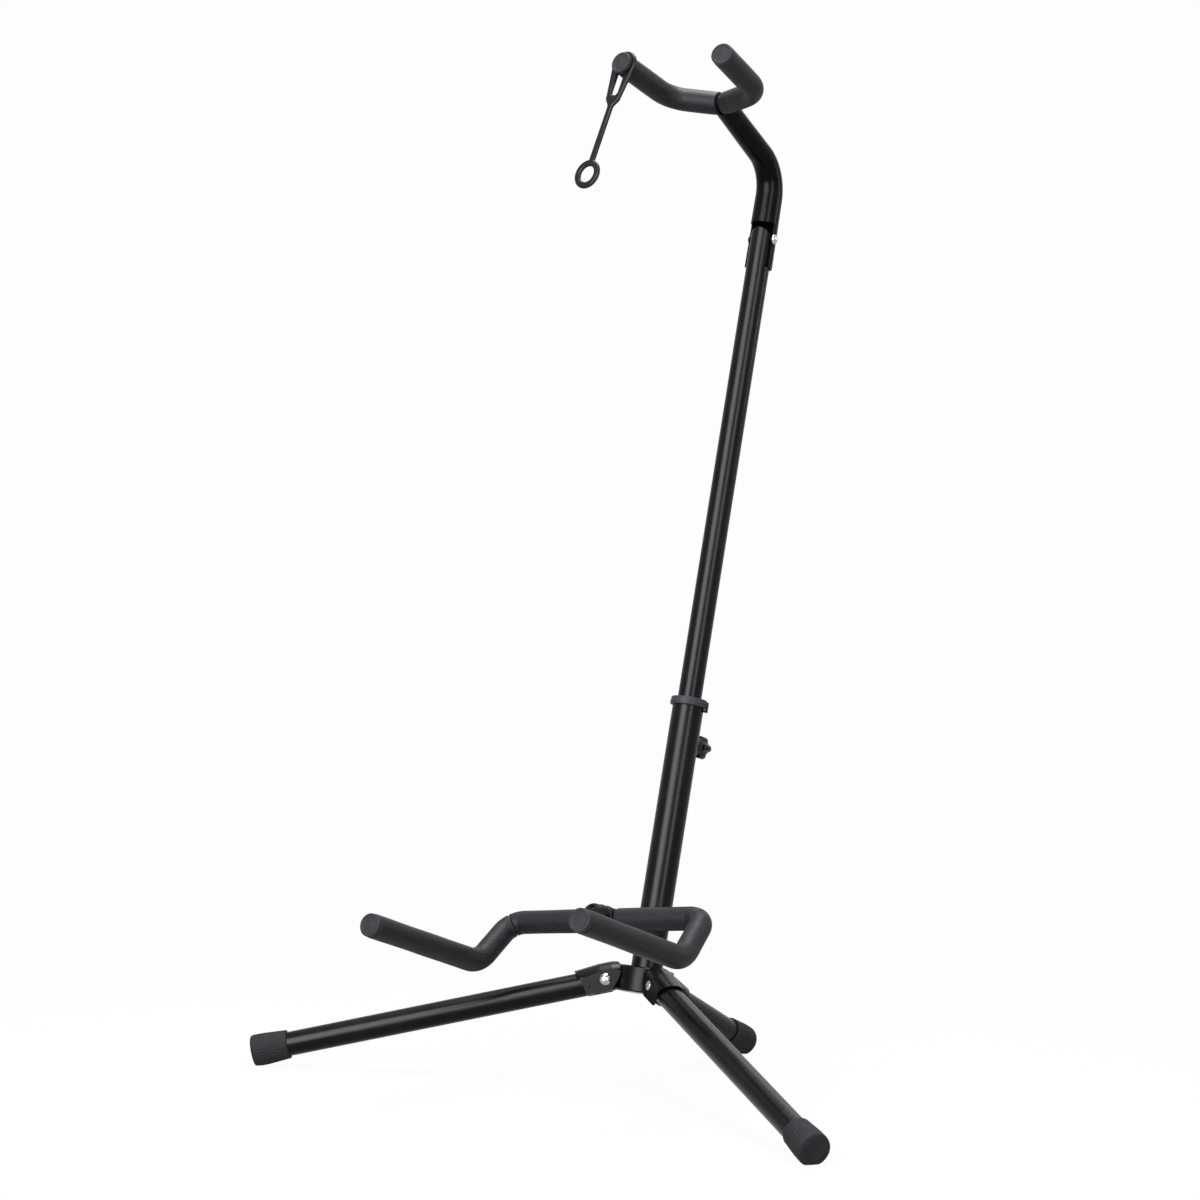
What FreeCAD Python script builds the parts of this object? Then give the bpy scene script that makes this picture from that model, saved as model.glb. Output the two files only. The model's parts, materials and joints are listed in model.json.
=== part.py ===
import FreeCAD, Part
import Sketcher
import math
import os
import re
from FreeCAD import Placement, Rotation, Vector

# Folding guitar stand. Lengths are in millimetres and angles in degrees.
# Heights on the column are measured along it from the centre of the hub, and
# reaches are measured forward from the column's axis, square to it.

SIZES = {
    # column
    "lean_angle": 13.2,
    "lower_tube_radius": 12.5,
    "lower_tube_wall": 1.5,
    "lower_tube_top": 219.6,
    "upper_tube_radius": 9.5,
    "upper_tube_wall": 1.2,
    "upper_tube_top": 617.8,
    "mast_insertion": 80,
    "running_gap": 0.05,
    "fixed_gap": 0.02,
    "cut_overrun": 30,
    # hub and the plug under the column
    "hub_radius": 22,
    "hub_height": 20,
    "hub_edge": 1,
    "plug_rim": 2,
    "plug_spigot": 6,
    # leg pivots
    "leg_spacing_angle": 120,
    "leg_droop_angle": 20.4,
    "rear_droop_angle": 11.8,
    "pivot_reach": 30,
    "pivot_drop": 3.8,
    "lug_radius": 9.2,
    "lug_root": 15,
    "rivet_radius": 3,
    "rivet_head_radius": 4.8,
    "rivet_head_height": 2.6,
    "rivet_tail_radius": 3.7,
    "rivet_tail_height": 1.4,
    "rivet_seat_gap": 0.1,
    # legs
    "front_leg_length": 284.3,
    "leg_tube_radius": 9.5,
    "leg_tube_wall": 1.2,
    "leg_tube_setback": 1.4,
    "bracket_wall": 2,
    "bracket_reach": 23.5,
    "bracket_depth": 9.5,
    "bracket_flank_reach": 18.8,
    "bracket_flank_height": 3,
    "bracket_foot_reach": 16.4,
    "bracket_nose": 15.2,
    "bracket_nose_height": 6.5,
    "bracket_nose_round": 5,
    "bracket_nose_slope": 2.5,
    "bracket_heel": 9.4,
    "bracket_toe": 2.6,
    "hood_rise": 1.9,
    "hood_run_in": 17,
    "hood_crest_inner": 7,
    "hood_crest_outer": 3,
    "hood_brow": 4,
    "hub_swing_gap": 0.4,
    "roll_pin_radius": 1.75,
    "roll_pin_bore": 1.1,
    "roll_pin_place": 13,
    "roll_pin_drop": 3.5,
    # feet
    "foot_rim_radius": 11.2,
    "foot_end_radius": 12.5,
    "foot_length": 29,
    "foot_end_wall": 4,
    "foot_corner": 3.5,
    "foot_flare_share": 0.35,
    "sole_depth": 1.2,
    # collar between the column tubes, and the guide bush on the mast
    "collar_rim_radius": 14.75,
    "collar_rim_height": 6.5,
    "collar_spigot": 20,
    "guide_length": 18,
    "guide_lip": 2,
    "guide_lip_bore": 7,
    # clamp
    "clamp_drop": 28.6,
    "clamp_boss_radius": 8,
    "clamp_boss_length": 6,
    "clamp_screw_radius": 3,
    "clamp_tip_gap": 0.1,
    "clamp_hole_gap": 0.2,
    "knob_gap": 1.5,
    "knob_radius": 7,
    "knob_height": 10,
    "knob_lobe_radius": 3,
    "knob_lobe_circle": 6.4,
    "knob_end_wall": 3,
    "knob_edge": 1,
    # stub and cradle head
    "stub_radius": 9.5,
    "stub_wall": 1.5,
    "stub_height": 39.1,
    "stub_reach": 56.5,
    "head_radius": 10.5,
    "head_cap_radius": 10.9,
    "head_cap_length": 23,
    "head_dome": 5,
    "head_split_gap": 0.05,
    "head_spigot": 16,
    "head_face_gap": 0.3,
    "stop_pin_radius": 1.5,
    "stop_pin_inset": 7,
    "stop_slot_width": 6.6,
    "stop_slot_gap": 0.3,
    "head_screw_radius": 1.25,
    "head_screw_head_radius": 2.3,
    "head_screw_head_height": 1.6,
    "head_screw_offset": 6.9,
    "head_screw_seat": 14,
    "head_screw_bite": 7,
    "rock_angle": 7.2,
    # cradle rod, foam and caps
    "rod_radius": 4,
    "foam_radius": 9.25,
    "foam_bore_gap": 0.05,
    "cradle_reach": 66.5,
    "cradle_half_width": 88.8,
    "cradle_spread": 4.2,
    "cradle_dip_reach": 35.3,
    "cradle_dip": 35,
    "cradle_arm_reach": 137.2,
    "cradle_arm_rise": 11,
    "cradle_corner_radius": 14,
    "cradle_bend_radius": 26,
    "cradle_foam_gap": 0.8,
    "cap_radius": 8.8,
    "cap_length": 3.6,
    "cap_edge": 1,
    "cap_socket": 2,
    # neck yoke
    "yoke_reach": 88,
    "yoke_rise": 84.5,
    "yoke_pitch_angle": 4.4,
    "yoke_seat_half_width": 5,
    "yoke_seat_radius": 14,
    "yoke_half_width": 41.5,
    "yoke_sweep": 15.2,
    "yoke_tip_half_width": 47,
    "yoke_arm_length": 80.4,
    "yoke_bend_radius": 24,
    "yoke_foam_gap": 2,
    # gooseneck
    "neck_rise_angle": 15.7,
    "neck_bend_radius": 32,
    "neck_foot_radius": 11.7,
    "neck_knee_radius": 11.2,
    "neck_arm_radius": 9.8,
    "neck_end_radius": 9.1,
    "neck_wall": 1.3,
    "neck_skirt": 23.5,
    "neck_cut_rise": 12.6,
    "neck_fold_angle": 100,
    "neck_cut_reach": 2.2,
    "neck_foam_gap": 0.4,
    "neck_swing_gap": 0.6,
    "yoke_pivot_inset": 8.5,
    "yoke_rivet_radius": 2.5,
    "yoke_rivet_head_radius": 4,
    "yoke_rivet_head_height": 2.2,
    "yoke_rivet_tail_radius": 3.1,
    "yoke_rivet_tail_height": 1.2,
    "neck_plug_length": 24,
    "neck_eye_radius": 6.5,
    "neck_eye_half_width": 1.7,
    # neck strap and the grooved cap that it hangs on
    "strap_thickness": 3.2,
    "strap_groove": 3.9,
    "strap_post_radius": 7,
    "strap_post_rim": 1.5,
    "strap_loop_gap": 0.4,
    "strap_loop_radius": 11.6,
    "strap_half_width": 7.2,
    "strap_slot_half_width": 3.5,
    "strap_taper_angle": 9.5,
    "strap_slot_length": 26,
    "strap_bridge": 3.2,
    "strap_shoulder_length": 6.5,
    "strap_strand_half_width": 1.9,
    "strap_length": 95.5,
    "strap_rest_angle": -7,
    "strap_ring_radius": 12.1,
    "strap_ring_bore": 7.7,
}
YOKE_PIVOT = "upper_tube_top - yoke_pivot_inset"
YOKE_HEIGHT = YOKE_PIVOT + " + yoke_rise"
CLAMP_HEIGHT = "lower_tube_top - clamp_drop"
LEG_NAMES = ("rear", "left", "right")
KNOB_LOBE_COUNT = 5
KNEE_STATION_COUNT = 6

X_AXIS = Vector(1, 0, 0)
Y_AXIS = Vector(0, 1, 0)
Z_AXIS = Vector(0, 0, 1)
ALONG_X = Rotation(Z_AXIS, X_AXIS)
ALONG_Y = Rotation(Z_AXIS, Y_AXIS)
ALONG_Z = Rotation()

doc = FreeCAD.newDocument("folding_guitar_stand")
sheet = doc.addObject("Spreadsheet::Sheet", "Sizes")
for row, (alias, value) in enumerate(SIZES.items(), start=1):
    sheet.set("A%d" % row, alias)
    sheet.set("B%d" % row, str(value))
    sheet.setAlias("B%d" % row, alias)
doc.recompute()
nodes = {}


def size(alias):
    """Read one size from the sheet."""
    return float(sheet.get(alias))


def bound(text):
    """Write an expression so that its words are read from the sheet."""
    return re.sub(r"[a-z]\w*_\w+", lambda word: "Sizes." + word.group(0), text)


def number(text):
    """Work an expression out as a plain number."""
    return float(sheet.evalExpression(re.sub(r"Sizes\.", "", bound(text))))


def bind(item, **texts):
    """Bind an object's properties to expressions on the sheet."""
    for name, text in texts.items():
        item.setExpression(name, bound(text))


def place(x=0.0, y=0.0, z=0.0, rotation=ALONG_Z):
    """A placement from three coordinates and a rotation."""
    return Placement(Vector(x, y, z), rotation)


def keep(item, name, frame):
    """Make an object a named sub-part and put it in its frame."""
    item.Label = name
    item.Placement = frame
    nodes[name] = item
    return item


# Part primitives and booleans

def cylinder(name, radius, length, where=Placement()):
    item = doc.addObject("Part::Cylinder", name)
    bind(item, Radius=radius, Height=length)
    item.Placement = where
    return item


def ball(name, radius, where=Placement()):
    item = doc.addObject("Part::Sphere", name)
    bind(item, Radius=radius)
    item.Placement = where
    return item


def block(name, length, width, height, where=Placement()):
    """A box centred on its own origin."""
    item = doc.addObject("Part::Box", name)
    bind(item, Length=length, Width=width, Height=height)
    middle = Vector(number(length) / 2, number(width) / 2, number(height) / 2)
    item.Placement = where.multiply(Placement(-middle, ALONG_Z))
    return item


def fused(name, *items):
    joined = doc.addObject("Part::MultiFuse", name)
    joined.Shapes = list(items)
    return joined


def cut(name, base, *tools):
    """Cut one or more tools from a base."""
    item = doc.addObject("Part::Cut", name)
    item.Base = base
    item.Tool = tools[0] if len(tools) == 1 else fused(name + "_tools", *tools)
    return item


def shared(name, first, second):
    item = doc.addObject("Part::MultiCommon", name)
    item.Shapes = [first, second]
    return item


# Sketched bodies

def origin_plane(body, role):
    return [plane for plane in body.Origin.OriginFeatures if plane.Role == role][0]


def arc_edge(start, end, radius):
    """A counter-clockwise arc between two points."""
    chord = end - start
    rise = math.sqrt(max(radius ** 2 - (chord.Length / 2) ** 2, 0.0))
    normal = Vector(-chord.y, chord.x, 0).normalize()
    centre = start + chord * 0.5 + normal * rise
    first = math.atan2(start.y - centre.y, start.x - centre.x)
    last = math.atan2(end.y - centre.y, end.x - centre.x)
    return Part.ArcOfCircle(Part.Circle(centre, Z_AXIS, radius), first, last)


def outline(body, role, points):
    """A closed sketch. A point is (x, y), or (x, y, radius) where an arc leaves it."""
    sketch = body.newObject("Sketcher::SketchObject", body.Name + "_outline")
    sketch.AttachmentSupport = [(origin_plane(body, role), "")]
    sketch.MapMode = "FlatFace"
    corners = [Vector(number(point[0]), number(point[1]), 0) for point in points]
    count = len(points)
    for index, point in enumerate(points):
        start, end = corners[index], corners[(index + 1) % count]
        if len(point) == 3:
            sketch.addGeometry(arc_edge(start, end, number(point[2])))
        else:
            sketch.addGeometry(Part.LineSegment(start, end))
    for index in range(count):
        sketch.addConstraint(Sketcher.Constraint("Coincident", index, 2, (index + 1) % count, 1))
    for index, point in enumerate(points):
        for kind, text, at in (("DistanceX", point[0], corners[index].x),
                               ("DistanceY", point[1], corners[index].y)):
            key = sketch.addConstraint(Sketcher.Constraint(kind, -1, 1, index, 1, at))
            sketch.setExpression("Constraints[%d]" % key, bound(text))
        if len(point) == 3:
            key = sketch.addConstraint(Sketcher.Constraint("Radius", index, number(point[2])))
            sketch.setExpression("Constraints[%d]" % key, bound(point[2]))
    return sketch


def turned(name, points):
    """A body turned about its own Z axis from (radius, height) points."""
    body = doc.addObject("PartDesign::Body", name)
    sketch = outline(body, "XZ_Plane", points)
    turn = body.newObject("PartDesign::Revolution", name + "_turn")
    turn.Profile = sketch
    turn.ReferenceAxis = (sketch, ["V_Axis"])
    turn.Angle = 360
    return body


def extruded(name, role, points, thickness):
    """A body of even thickness, half of it on each side of an origin plane."""
    body = doc.addObject("PartDesign::Body", name)
    sketch = outline(body, role, points)
    pad = body.newObject("PartDesign::Pad", name + "_pad")
    pad.Profile = sketch
    pad.Midplane = True
    bind(pad, Length=thickness)
    return body


def pipe(name, radius, bore, bottom, top):
    """A straight tube along its own Z axis."""
    return turned(name, [(bore, bottom), (radius, bottom), (radius, top), (bore, top)])


def domed_rivet(name, kind, seat):
    """A rivet along its own Z axis: a domed head over one seat, a set tail under the other."""
    dome = "(%s_radius^2 + %s_height^2) / (2 * %s_height)"
    head = kind + "_head"
    tail = kind + "_tail"
    return turned(name, [
        ("0", "-(%s + %s_height)" % (seat, tail), dome % (tail, tail, tail)),
        (tail + "_radius", "-(%s)" % seat),
        (kind + "_radius", "-(%s)" % seat),
        (kind + "_radius", seat),
        (head + "_radius", seat, dome % (head, head, head)),
        ("0", "%s + %s_height" % (seat, head)),
    ])


# Bent bars

def bent_route(points, radii):
    """Straight runs joined by tangent arcs, each arc in two halves."""
    edges = []
    start = points[0]
    for before, corner, after, radius in zip(points, points[1:], points[2:], radii):
        inward = (before - corner).normalize()
        outward = (after - corner).normalize()
        half_turn = (math.pi - inward.getAngle(outward)) / 2
        tangent = radius * math.tan(half_turn)
        first = corner + inward * tangent
        last = corner + outward * tangent
        middle_way = (inward + outward).normalize()
        centre = corner + middle_way * (radius / math.cos(half_turn))
        middle = centre - middle_way * radius
        quarter_in = centre + ((first + middle) * 0.5 - centre).normalize() * radius
        quarter_out = centre + ((middle + last) * 0.5 - centre).normalize() * radius
        edges.append(Part.LineSegment(start, first).toShape())
        edges.append(Part.Arc(first, quarter_in, middle).toShape())
        edges.append(Part.Arc(middle, quarter_out, last).toShape())
        start = last
    edges.append(Part.LineSegment(start, points[-1]).toShape())
    return edges


def bar_along(edges, radius):
    """A round bar swept along a route."""
    first = edges[0]
    start = first.valueAt(first.FirstParameter)
    heading = first.tangentAt(first.FirstParameter)
    section = Part.Wire(Part.Circle(start, heading, radius).toShape())
    return Part.Wire(edges).makePipeShell([section], True, False)


def bent_node(name, shape, frame):
    item = doc.addObject("Part::Feature", name)
    item.Shape = shape
    return keep(item, name, frame)


def sleeve_along(edges):
    """A foam sleeve round the rod."""
    bore = size("rod_radius") + size("foam_bore_gap")
    return bar_along(edges, size("foam_radius")).cut(bar_along(edges, bore))


# Frames: each sub-assembly is drawn in its own frame

def leg_frame(index, hub_height_above_floor):
    """Origin on the leg's pivot, X outward along the leg, Y along the pivot."""
    heading = Rotation(Z_AXIS, 90 + index * size("leg_spacing_angle"))
    droop = size("leg_droop_angle") if index else size("rear_droop_angle")
    pivot = place(size("pivot_reach"), 0, -size("pivot_drop"), Rotation(Y_AXIS, droop))
    return column_frame(hub_height_above_floor).multiply(Placement(Vector(), heading)).multiply(pivot)


def column_frame(height):
    """Origin at the hub's centre, Z up the column and -Y forward."""
    return place(0, 0, height, Rotation(X_AXIS, -size("lean_angle")))


def foot_reach(frame, length):
    """How far the foot's lowest point lies below the pivot."""
    slope = -math.asin(frame.Rotation.multVec(X_AXIS).z)
    corner = size("foot_corner")
    along = (length - corner) * math.sin(slope)
    return along + (size("foot_end_radius") - corner) * math.cos(slope) + corner


def rear_leg_length(height):
    """The length that sets the rear foot on the floor."""
    frame = leg_frame(0, height)
    slope = -math.asin(frame.Rotation.multVec(X_AXIS).z)
    corner = size("foot_corner")
    below = frame.Base.z + size("sole_depth") - corner
    below -= (size("foot_end_radius") - corner) * math.cos(slope)
    return below / math.sin(slope) + corner


front = leg_frame(1, 0)
hub_centre_height = foot_reach(front, size("front_leg_length")) - size("sole_depth") - front.Base.z
column = column_frame(hub_centre_height)
yoke_base = Vector(0, -size("yoke_reach"), number(YOKE_HEIGHT))
neck_end = column.multiply(Placement(yoke_base, Rotation(X_AXIS, -size("neck_rise_angle"))))
yoke = column.multiply(Placement(yoke_base, Rotation(X_AXIS, -size("yoke_pitch_angle"))))
head_centre = Vector(0, -size("cradle_reach"), size("stub_height"))
head = column.multiply(Placement(head_centre, Rotation(Y_AXIS, -size("rock_angle"))))


# Column and hub

def make_lower_tube():
    wall = pipe("lower_tube_wall_body", "lower_tube_radius", "lower_tube_radius - lower_tube_wall",
                "plug_rim - hub_height / 2", "lower_tube_top")
    hole = cylinder("clamp_hole", "clamp_screw_radius + clamp_hole_gap", "cut_overrun",
                    place(0, 0, number(CLAMP_HEIGHT), ALONG_Y))
    keep(cut("lower_tube", wall, hole), "lower_tube", column)


def make_hub():
    ring = turned("hub_ring", [
        ("0", "-hub_height / 2"),
        ("hub_radius - hub_edge", "-hub_height / 2"),
        ("hub_radius", "hub_edge - hub_height / 2"),
        ("hub_radius", "hub_height / 2 - hub_edge"),
        ("hub_radius - hub_edge", "hub_height / 2"),
        ("0", "hub_height / 2"),
    ])
    solids = [ring]
    bores = [cylinder("column_bore", "lower_tube_radius + fixed_gap", "hub_height + cut_overrun",
                      place(0, 0, -size("hub_height")))]
    for index, name in enumerate(LEG_NAMES):
        local = column.inverse().multiply(leg_frame(index, hub_centre_height))
        root = local.multiply(place(-size("lug_root"), 0, 0, ALONG_X))
        solids.append(cylinder(name + "_lug", "lug_radius", "lug_root", root))
        solids.append(ball(name + "_lug_end", "lug_radius", local))
        across = local.multiply(place(0, -size("cut_overrun") / 2, 0, ALONG_Y))
        bores.append(cylinder(name + "_lug_bore", "rivet_radius + running_gap", "cut_overrun", across))
    keep(cut("hub_casting", fused("hub_blank", *solids), *bores), "hub_casting", column)


def make_column_plug():
    plug = turned("column_plug", [
        ("0", "-hub_height / 2"),
        ("lower_tube_radius", "-hub_height / 2"),
        ("lower_tube_radius", "plug_rim - hub_height / 2"),
        ("lower_tube_radius - lower_tube_wall - fixed_gap", "plug_rim - hub_height / 2"),
        ("lower_tube_radius - lower_tube_wall - fixed_gap", "plug_rim + plug_spigot - hub_height / 2"),
        ("0", "plug_rim + plug_spigot - hub_height / 2"),
    ])
    keep(plug, "column_plug", column)


def make_collar():
    inside = "upper_tube_radius + running_gap"
    spigot = "lower_tube_radius - lower_tube_wall - fixed_gap"
    bush = turned("collar_bush", [
        (inside, "lower_tube_top - collar_spigot"),
        (spigot, "lower_tube_top - collar_spigot"),
        (spigot, "lower_tube_top"),
        ("collar_rim_radius", "lower_tube_top"),
        ("collar_rim_radius", "lower_tube_top + collar_rim_height"),
        (inside, "lower_tube_top + collar_rim_height"),
    ])
    keep(bush, "collar_bush", column)


def make_upper_tube():
    wall = pipe("upper_tube_wall_body", "upper_tube_radius", "upper_tube_radius - upper_tube_wall",
                "lower_tube_top - mast_insertion", "upper_tube_top")
    pivot = number(YOKE_PIVOT)
    reach = size("cut_overrun")
    hole = cylinder("mast_rivet_hole", "yoke_rivet_radius + fixed_gap", "2 * cut_overrun",
                    place(-reach, 0, pivot, ALONG_X))
    above = block("space_over_pivot", "2 * cut_overrun", "2 * cut_overrun", "2 * cut_overrun",
                  place(0, 0, pivot + reach))
    swing = "neck_foot_radius - neck_wall - neck_swing_gap"
    back_crown = ball("mast_back_crown", swing, place(0, 0, pivot))
    front_crown = cylinder("mast_front_crown", swing, "cut_overrun",
                           place(0, 0, pivot, Rotation(X_AXIS, size("neck_fold_angle"))))
    relief = cut("mast_top_relief", above, back_crown, front_crown)
    keep(cut("upper_tube", wall, hole, relief), "upper_tube", column)


def make_guide_bush():
    outside = "lower_tube_radius - lower_tube_wall - running_gap"
    inside = "upper_tube_radius + fixed_gap"
    bottom = "lower_tube_top - mast_insertion"
    bush = turned("mast_guide_bush", [
        ("guide_lip_bore", bottom + " - guide_lip"),
        (outside, bottom + " - guide_lip"),
        (outside, bottom + " + guide_length"),
        (inside, bottom + " + guide_length"),
        (inside, bottom),
        ("guide_lip_bore", bottom),
    ])
    keep(bush, "mast_guide_bush", column)


# Clamp

def make_clamp():
    boss = cylinder("clamp_boss", "clamp_boss_radius", "lower_tube_radius + clamp_boss_length",
                    place(rotation=ALONG_Y))
    tube_space = cylinder("clamp_tube_space", "lower_tube_radius + fixed_gap", "2 * cut_overrun",
                          place(0, 0, -size("cut_overrun")))
    thread = cylinder("clamp_thread", "clamp_screw_radius + running_gap", "cut_overrun",
                      place(rotation=ALONG_Y))
    keep(cut("clamp_nut", boss, tube_space, thread), "clamp_nut",
         column.multiply(place(0, 0, number(CLAMP_HEIGHT))))
    clamp = column.multiply(place(0, 0, number(CLAMP_HEIGHT), ALONG_Y))
    tip = "upper_tube_radius + clamp_tip_gap"
    knob_face = "lower_tube_radius + clamp_boss_length + knob_gap"
    screw_end = knob_face + " + knob_height - knob_end_wall"
    screw = turned("clamp_screw", [
        ("0", tip),
        ("clamp_screw_radius", tip),
        ("clamp_screw_radius", screw_end),
        ("0", screw_end),
    ])
    keep(screw, "clamp_screw", clamp)
    core = turned("knob_core", [
        ("0", knob_face),
        ("knob_radius - knob_edge", knob_face),
        ("knob_radius", knob_face + " + knob_edge"),
        ("knob_radius", knob_face + " + knob_height - knob_edge"),
        ("knob_radius - knob_edge", knob_face + " + knob_height"),
        ("0", knob_face + " + knob_height"),
    ])
    solids = [core]
    for index in range(KNOB_LOBE_COUNT):
        turn = Rotation(Z_AXIS, 360 * index / KNOB_LOBE_COUNT)
        centre = turn.multVec(Vector(size("knob_lobe_circle"), 0, number(knob_face + " + knob_edge")))
        solids.append(cylinder("knob_lobe_%d" % index, "knob_lobe_radius",
                               "knob_height - 2 * knob_edge", Placement(centre, ALONG_Z)))
    socket = cylinder("knob_socket", "clamp_screw_radius + running_gap", screw_end + " + running_gap")
    keep(cut("clamp_knob", fused("knob_blank", *solids), socket), "clamp_knob", clamp)


# Legs

def hood_solid(name, radius):
    """A channel's outline: an arch with a swell over the pivot, and its skirts below."""
    swell = turned(name + "_swell", [
        ("0", "-cut_overrun"),
        (radius, "-cut_overrun"),
        (radius, "-hood_run_in"),
        (radius + " + hood_rise", "-hood_crest_inner"),
        (radius + " + hood_rise", "hood_crest_outer"),
        (radius, "bracket_reach"),
        (radius, "cut_overrun"),
        ("0", "cut_overrun"),
    ])
    swell.Placement = Placement(Vector(), ALONG_X)
    width = "2 * (%s)" % radius
    slab = block(name + "_slab", "2 * cut_overrun", width, "2 * cut_overrun")
    skirt = block(name + "_skirt", "2 * cut_overrun", width, "cut_overrun",
                  place(0, 0, -size("cut_overrun") / 2))
    return fused(name, shared(name + "_arch", swell, slab), skirt)


def make_leg(index, name, length):
    """One leg: bracket, tube, roll pin, foot and the rivet that it folds on."""
    frame = leg_frame(index, hub_centre_height)
    across = Placement(Vector(), ALONG_Y)
    inner = "leg_tube_radius + fixed_gap"
    outer = inner + " + bracket_wall"
    reach = size("cut_overrun")
    outside = hood_solid(name + "_hood_outside", outer)
    inside = hood_solid(name + "_hood_inside", inner)
    side = extruded(name + "_bracket_side", "XZ_Plane", [
        ("-bracket_heel", "-bracket_toe"),
        ("-bracket_toe", "-bracket_depth"),
        ("bracket_foot_reach", "-bracket_depth"),
        ("bracket_flank_reach", "bracket_flank_height"),
        ("bracket_reach", outer),
        ("bracket_reach", outer + " + hood_brow"),
        ("-hood_crest_inner", outer + " + hood_brow"),
        ("bracket_nose_slope - bracket_nose", "bracket_nose_height + bracket_nose_round"),
        ("-bracket_nose", "bracket_nose_height"),
    ], "2 * cut_overrun")
    hood = shared(name + "_hood", cut(name + "_hood_channel", outside, inside), side)
    local_hub = frame.inverse().multiply(column)
    hub_space = cylinder(name + "_hub_space", "hub_radius + hub_swing_gap", "2 * cut_overrun",
                         local_hub.multiply(place(0, 0, -reach)))
    rivet_hole = cylinder(name + "_rivet_hole", "rivet_radius + running_gap", "2 * cut_overrun",
                          place(0, -reach, 0, ALONG_Y))
    pin_place = place(size("roll_pin_place"), -reach, -size("roll_pin_drop"), ALONG_Y)
    pin_hole = cylinder(name + "_pin_hole", "roll_pin_radius + fixed_gap", "2 * cut_overrun", pin_place)
    bracket = cut(name + "_leg_bracket", hood, hub_space, rivet_hole, pin_hole)
    keep(bracket, name + "_leg_bracket", frame)
    wall = pipe(name + "_leg_wall", "leg_tube_radius", "leg_tube_radius - leg_tube_wall",
                "lug_radius + leg_tube_setback", "%r - foot_end_wall" % length)
    tube_hole = cylinder(name + "_tube_pin_hole", "roll_pin_radius + fixed_gap", "2 * cut_overrun",
                         Placement(ALONG_X.inverted().multVec(pin_place.Base),
                                   ALONG_X.inverted().multiply(ALONG_Y)))
    along = frame.multiply(Placement(Vector(), ALONG_X))
    keep(cut(name + "_leg_tube", wall, tube_hole), name + "_leg_tube", along)
    pin = pipe(name + "_roll_pin", "roll_pin_radius", "roll_pin_bore",
               "-(%s)" % outer, outer)
    pin_frame = frame.multiply(place(size("roll_pin_place"), 0, -size("roll_pin_drop"), ALONG_Y))
    keep(pin, name + "_roll_pin", pin_frame)
    rivet = domed_rivet(name + "_pivot_rivet", "rivet", outer + " + rivet_seat_gap")
    keep(rivet, name + "_pivot_rivet", frame.multiply(across))
    make_foot(name, length, along)


def make_foot(name, length, along):
    """A rubber foot, flared to its end and cut flat where it stands."""
    end = "%r" % length
    blank = turned(name + "_foot_blank", [
        ("0", end + " - foot_end_wall"),
        ("leg_tube_radius + fixed_gap", end + " - foot_end_wall"),
        ("leg_tube_radius + fixed_gap", end + " - foot_length"),
        ("foot_rim_radius", end + " - foot_length"),
        ("foot_end_radius", end + " - foot_length * foot_flare_share"),
        ("foot_end_radius", end + " - foot_corner", "foot_corner"),
        ("foot_end_radius - foot_corner", end),
        ("0", end),
    ])
    floor = block(name + "_floor", "2 * cut_overrun", "2 * cut_overrun", "cut_overrun",
                  along.inverse().multiply(place(*foot_floor_point(along, length))))
    keep(cut(name + "_foot", blank, floor), name + "_foot", along)


def foot_floor_point(along, length):
    """The middle of the block of floor under a foot."""
    end = along.multVec(Vector(0, 0, length))
    return end.x, end.y, -size("cut_overrun") / 2


def make_legs():
    lengths = [rear_leg_length(hub_centre_height)] + [size("front_leg_length")] * 2
    for index, (name, length) in enumerate(zip(LEG_NAMES, lengths)):
        make_leg(index, name, length)


# Stub and cradle head

def make_stub():
    wall = pipe("stub_wall_body", "stub_radius", "stub_radius - stub_wall", "0", "stub_reach")
    wall.Placement = Placement(Vector(), Rotation(Z_AXIS, -Y_AXIS))
    tube_space = cylinder("stub_tube_space", "lower_tube_radius + fixed_gap", "2 * cut_overrun",
                          place(0, 0, -size("cut_overrun")))
    pin_place = place(0, size("stop_pin_inset") - size("stub_reach"), -size("cut_overrun"))
    hole = cylinder("stop_pin_hole", "stop_pin_radius + fixed_gap", "2 * cut_overrun", pin_place)
    stub_frame = column.multiply(place(0, 0, size("stub_height")))
    keep(cut("cradle_stub", wall, tube_space, hole), "cradle_stub", stub_frame)
    pin = cylinder("head_stop_pin", "stop_pin_radius", "2 * stub_radius")
    keep(pin, "head_stop_pin",
         stub_frame.multiply(place(0, pin_place.Base.y, -size("stub_radius"))))


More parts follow.
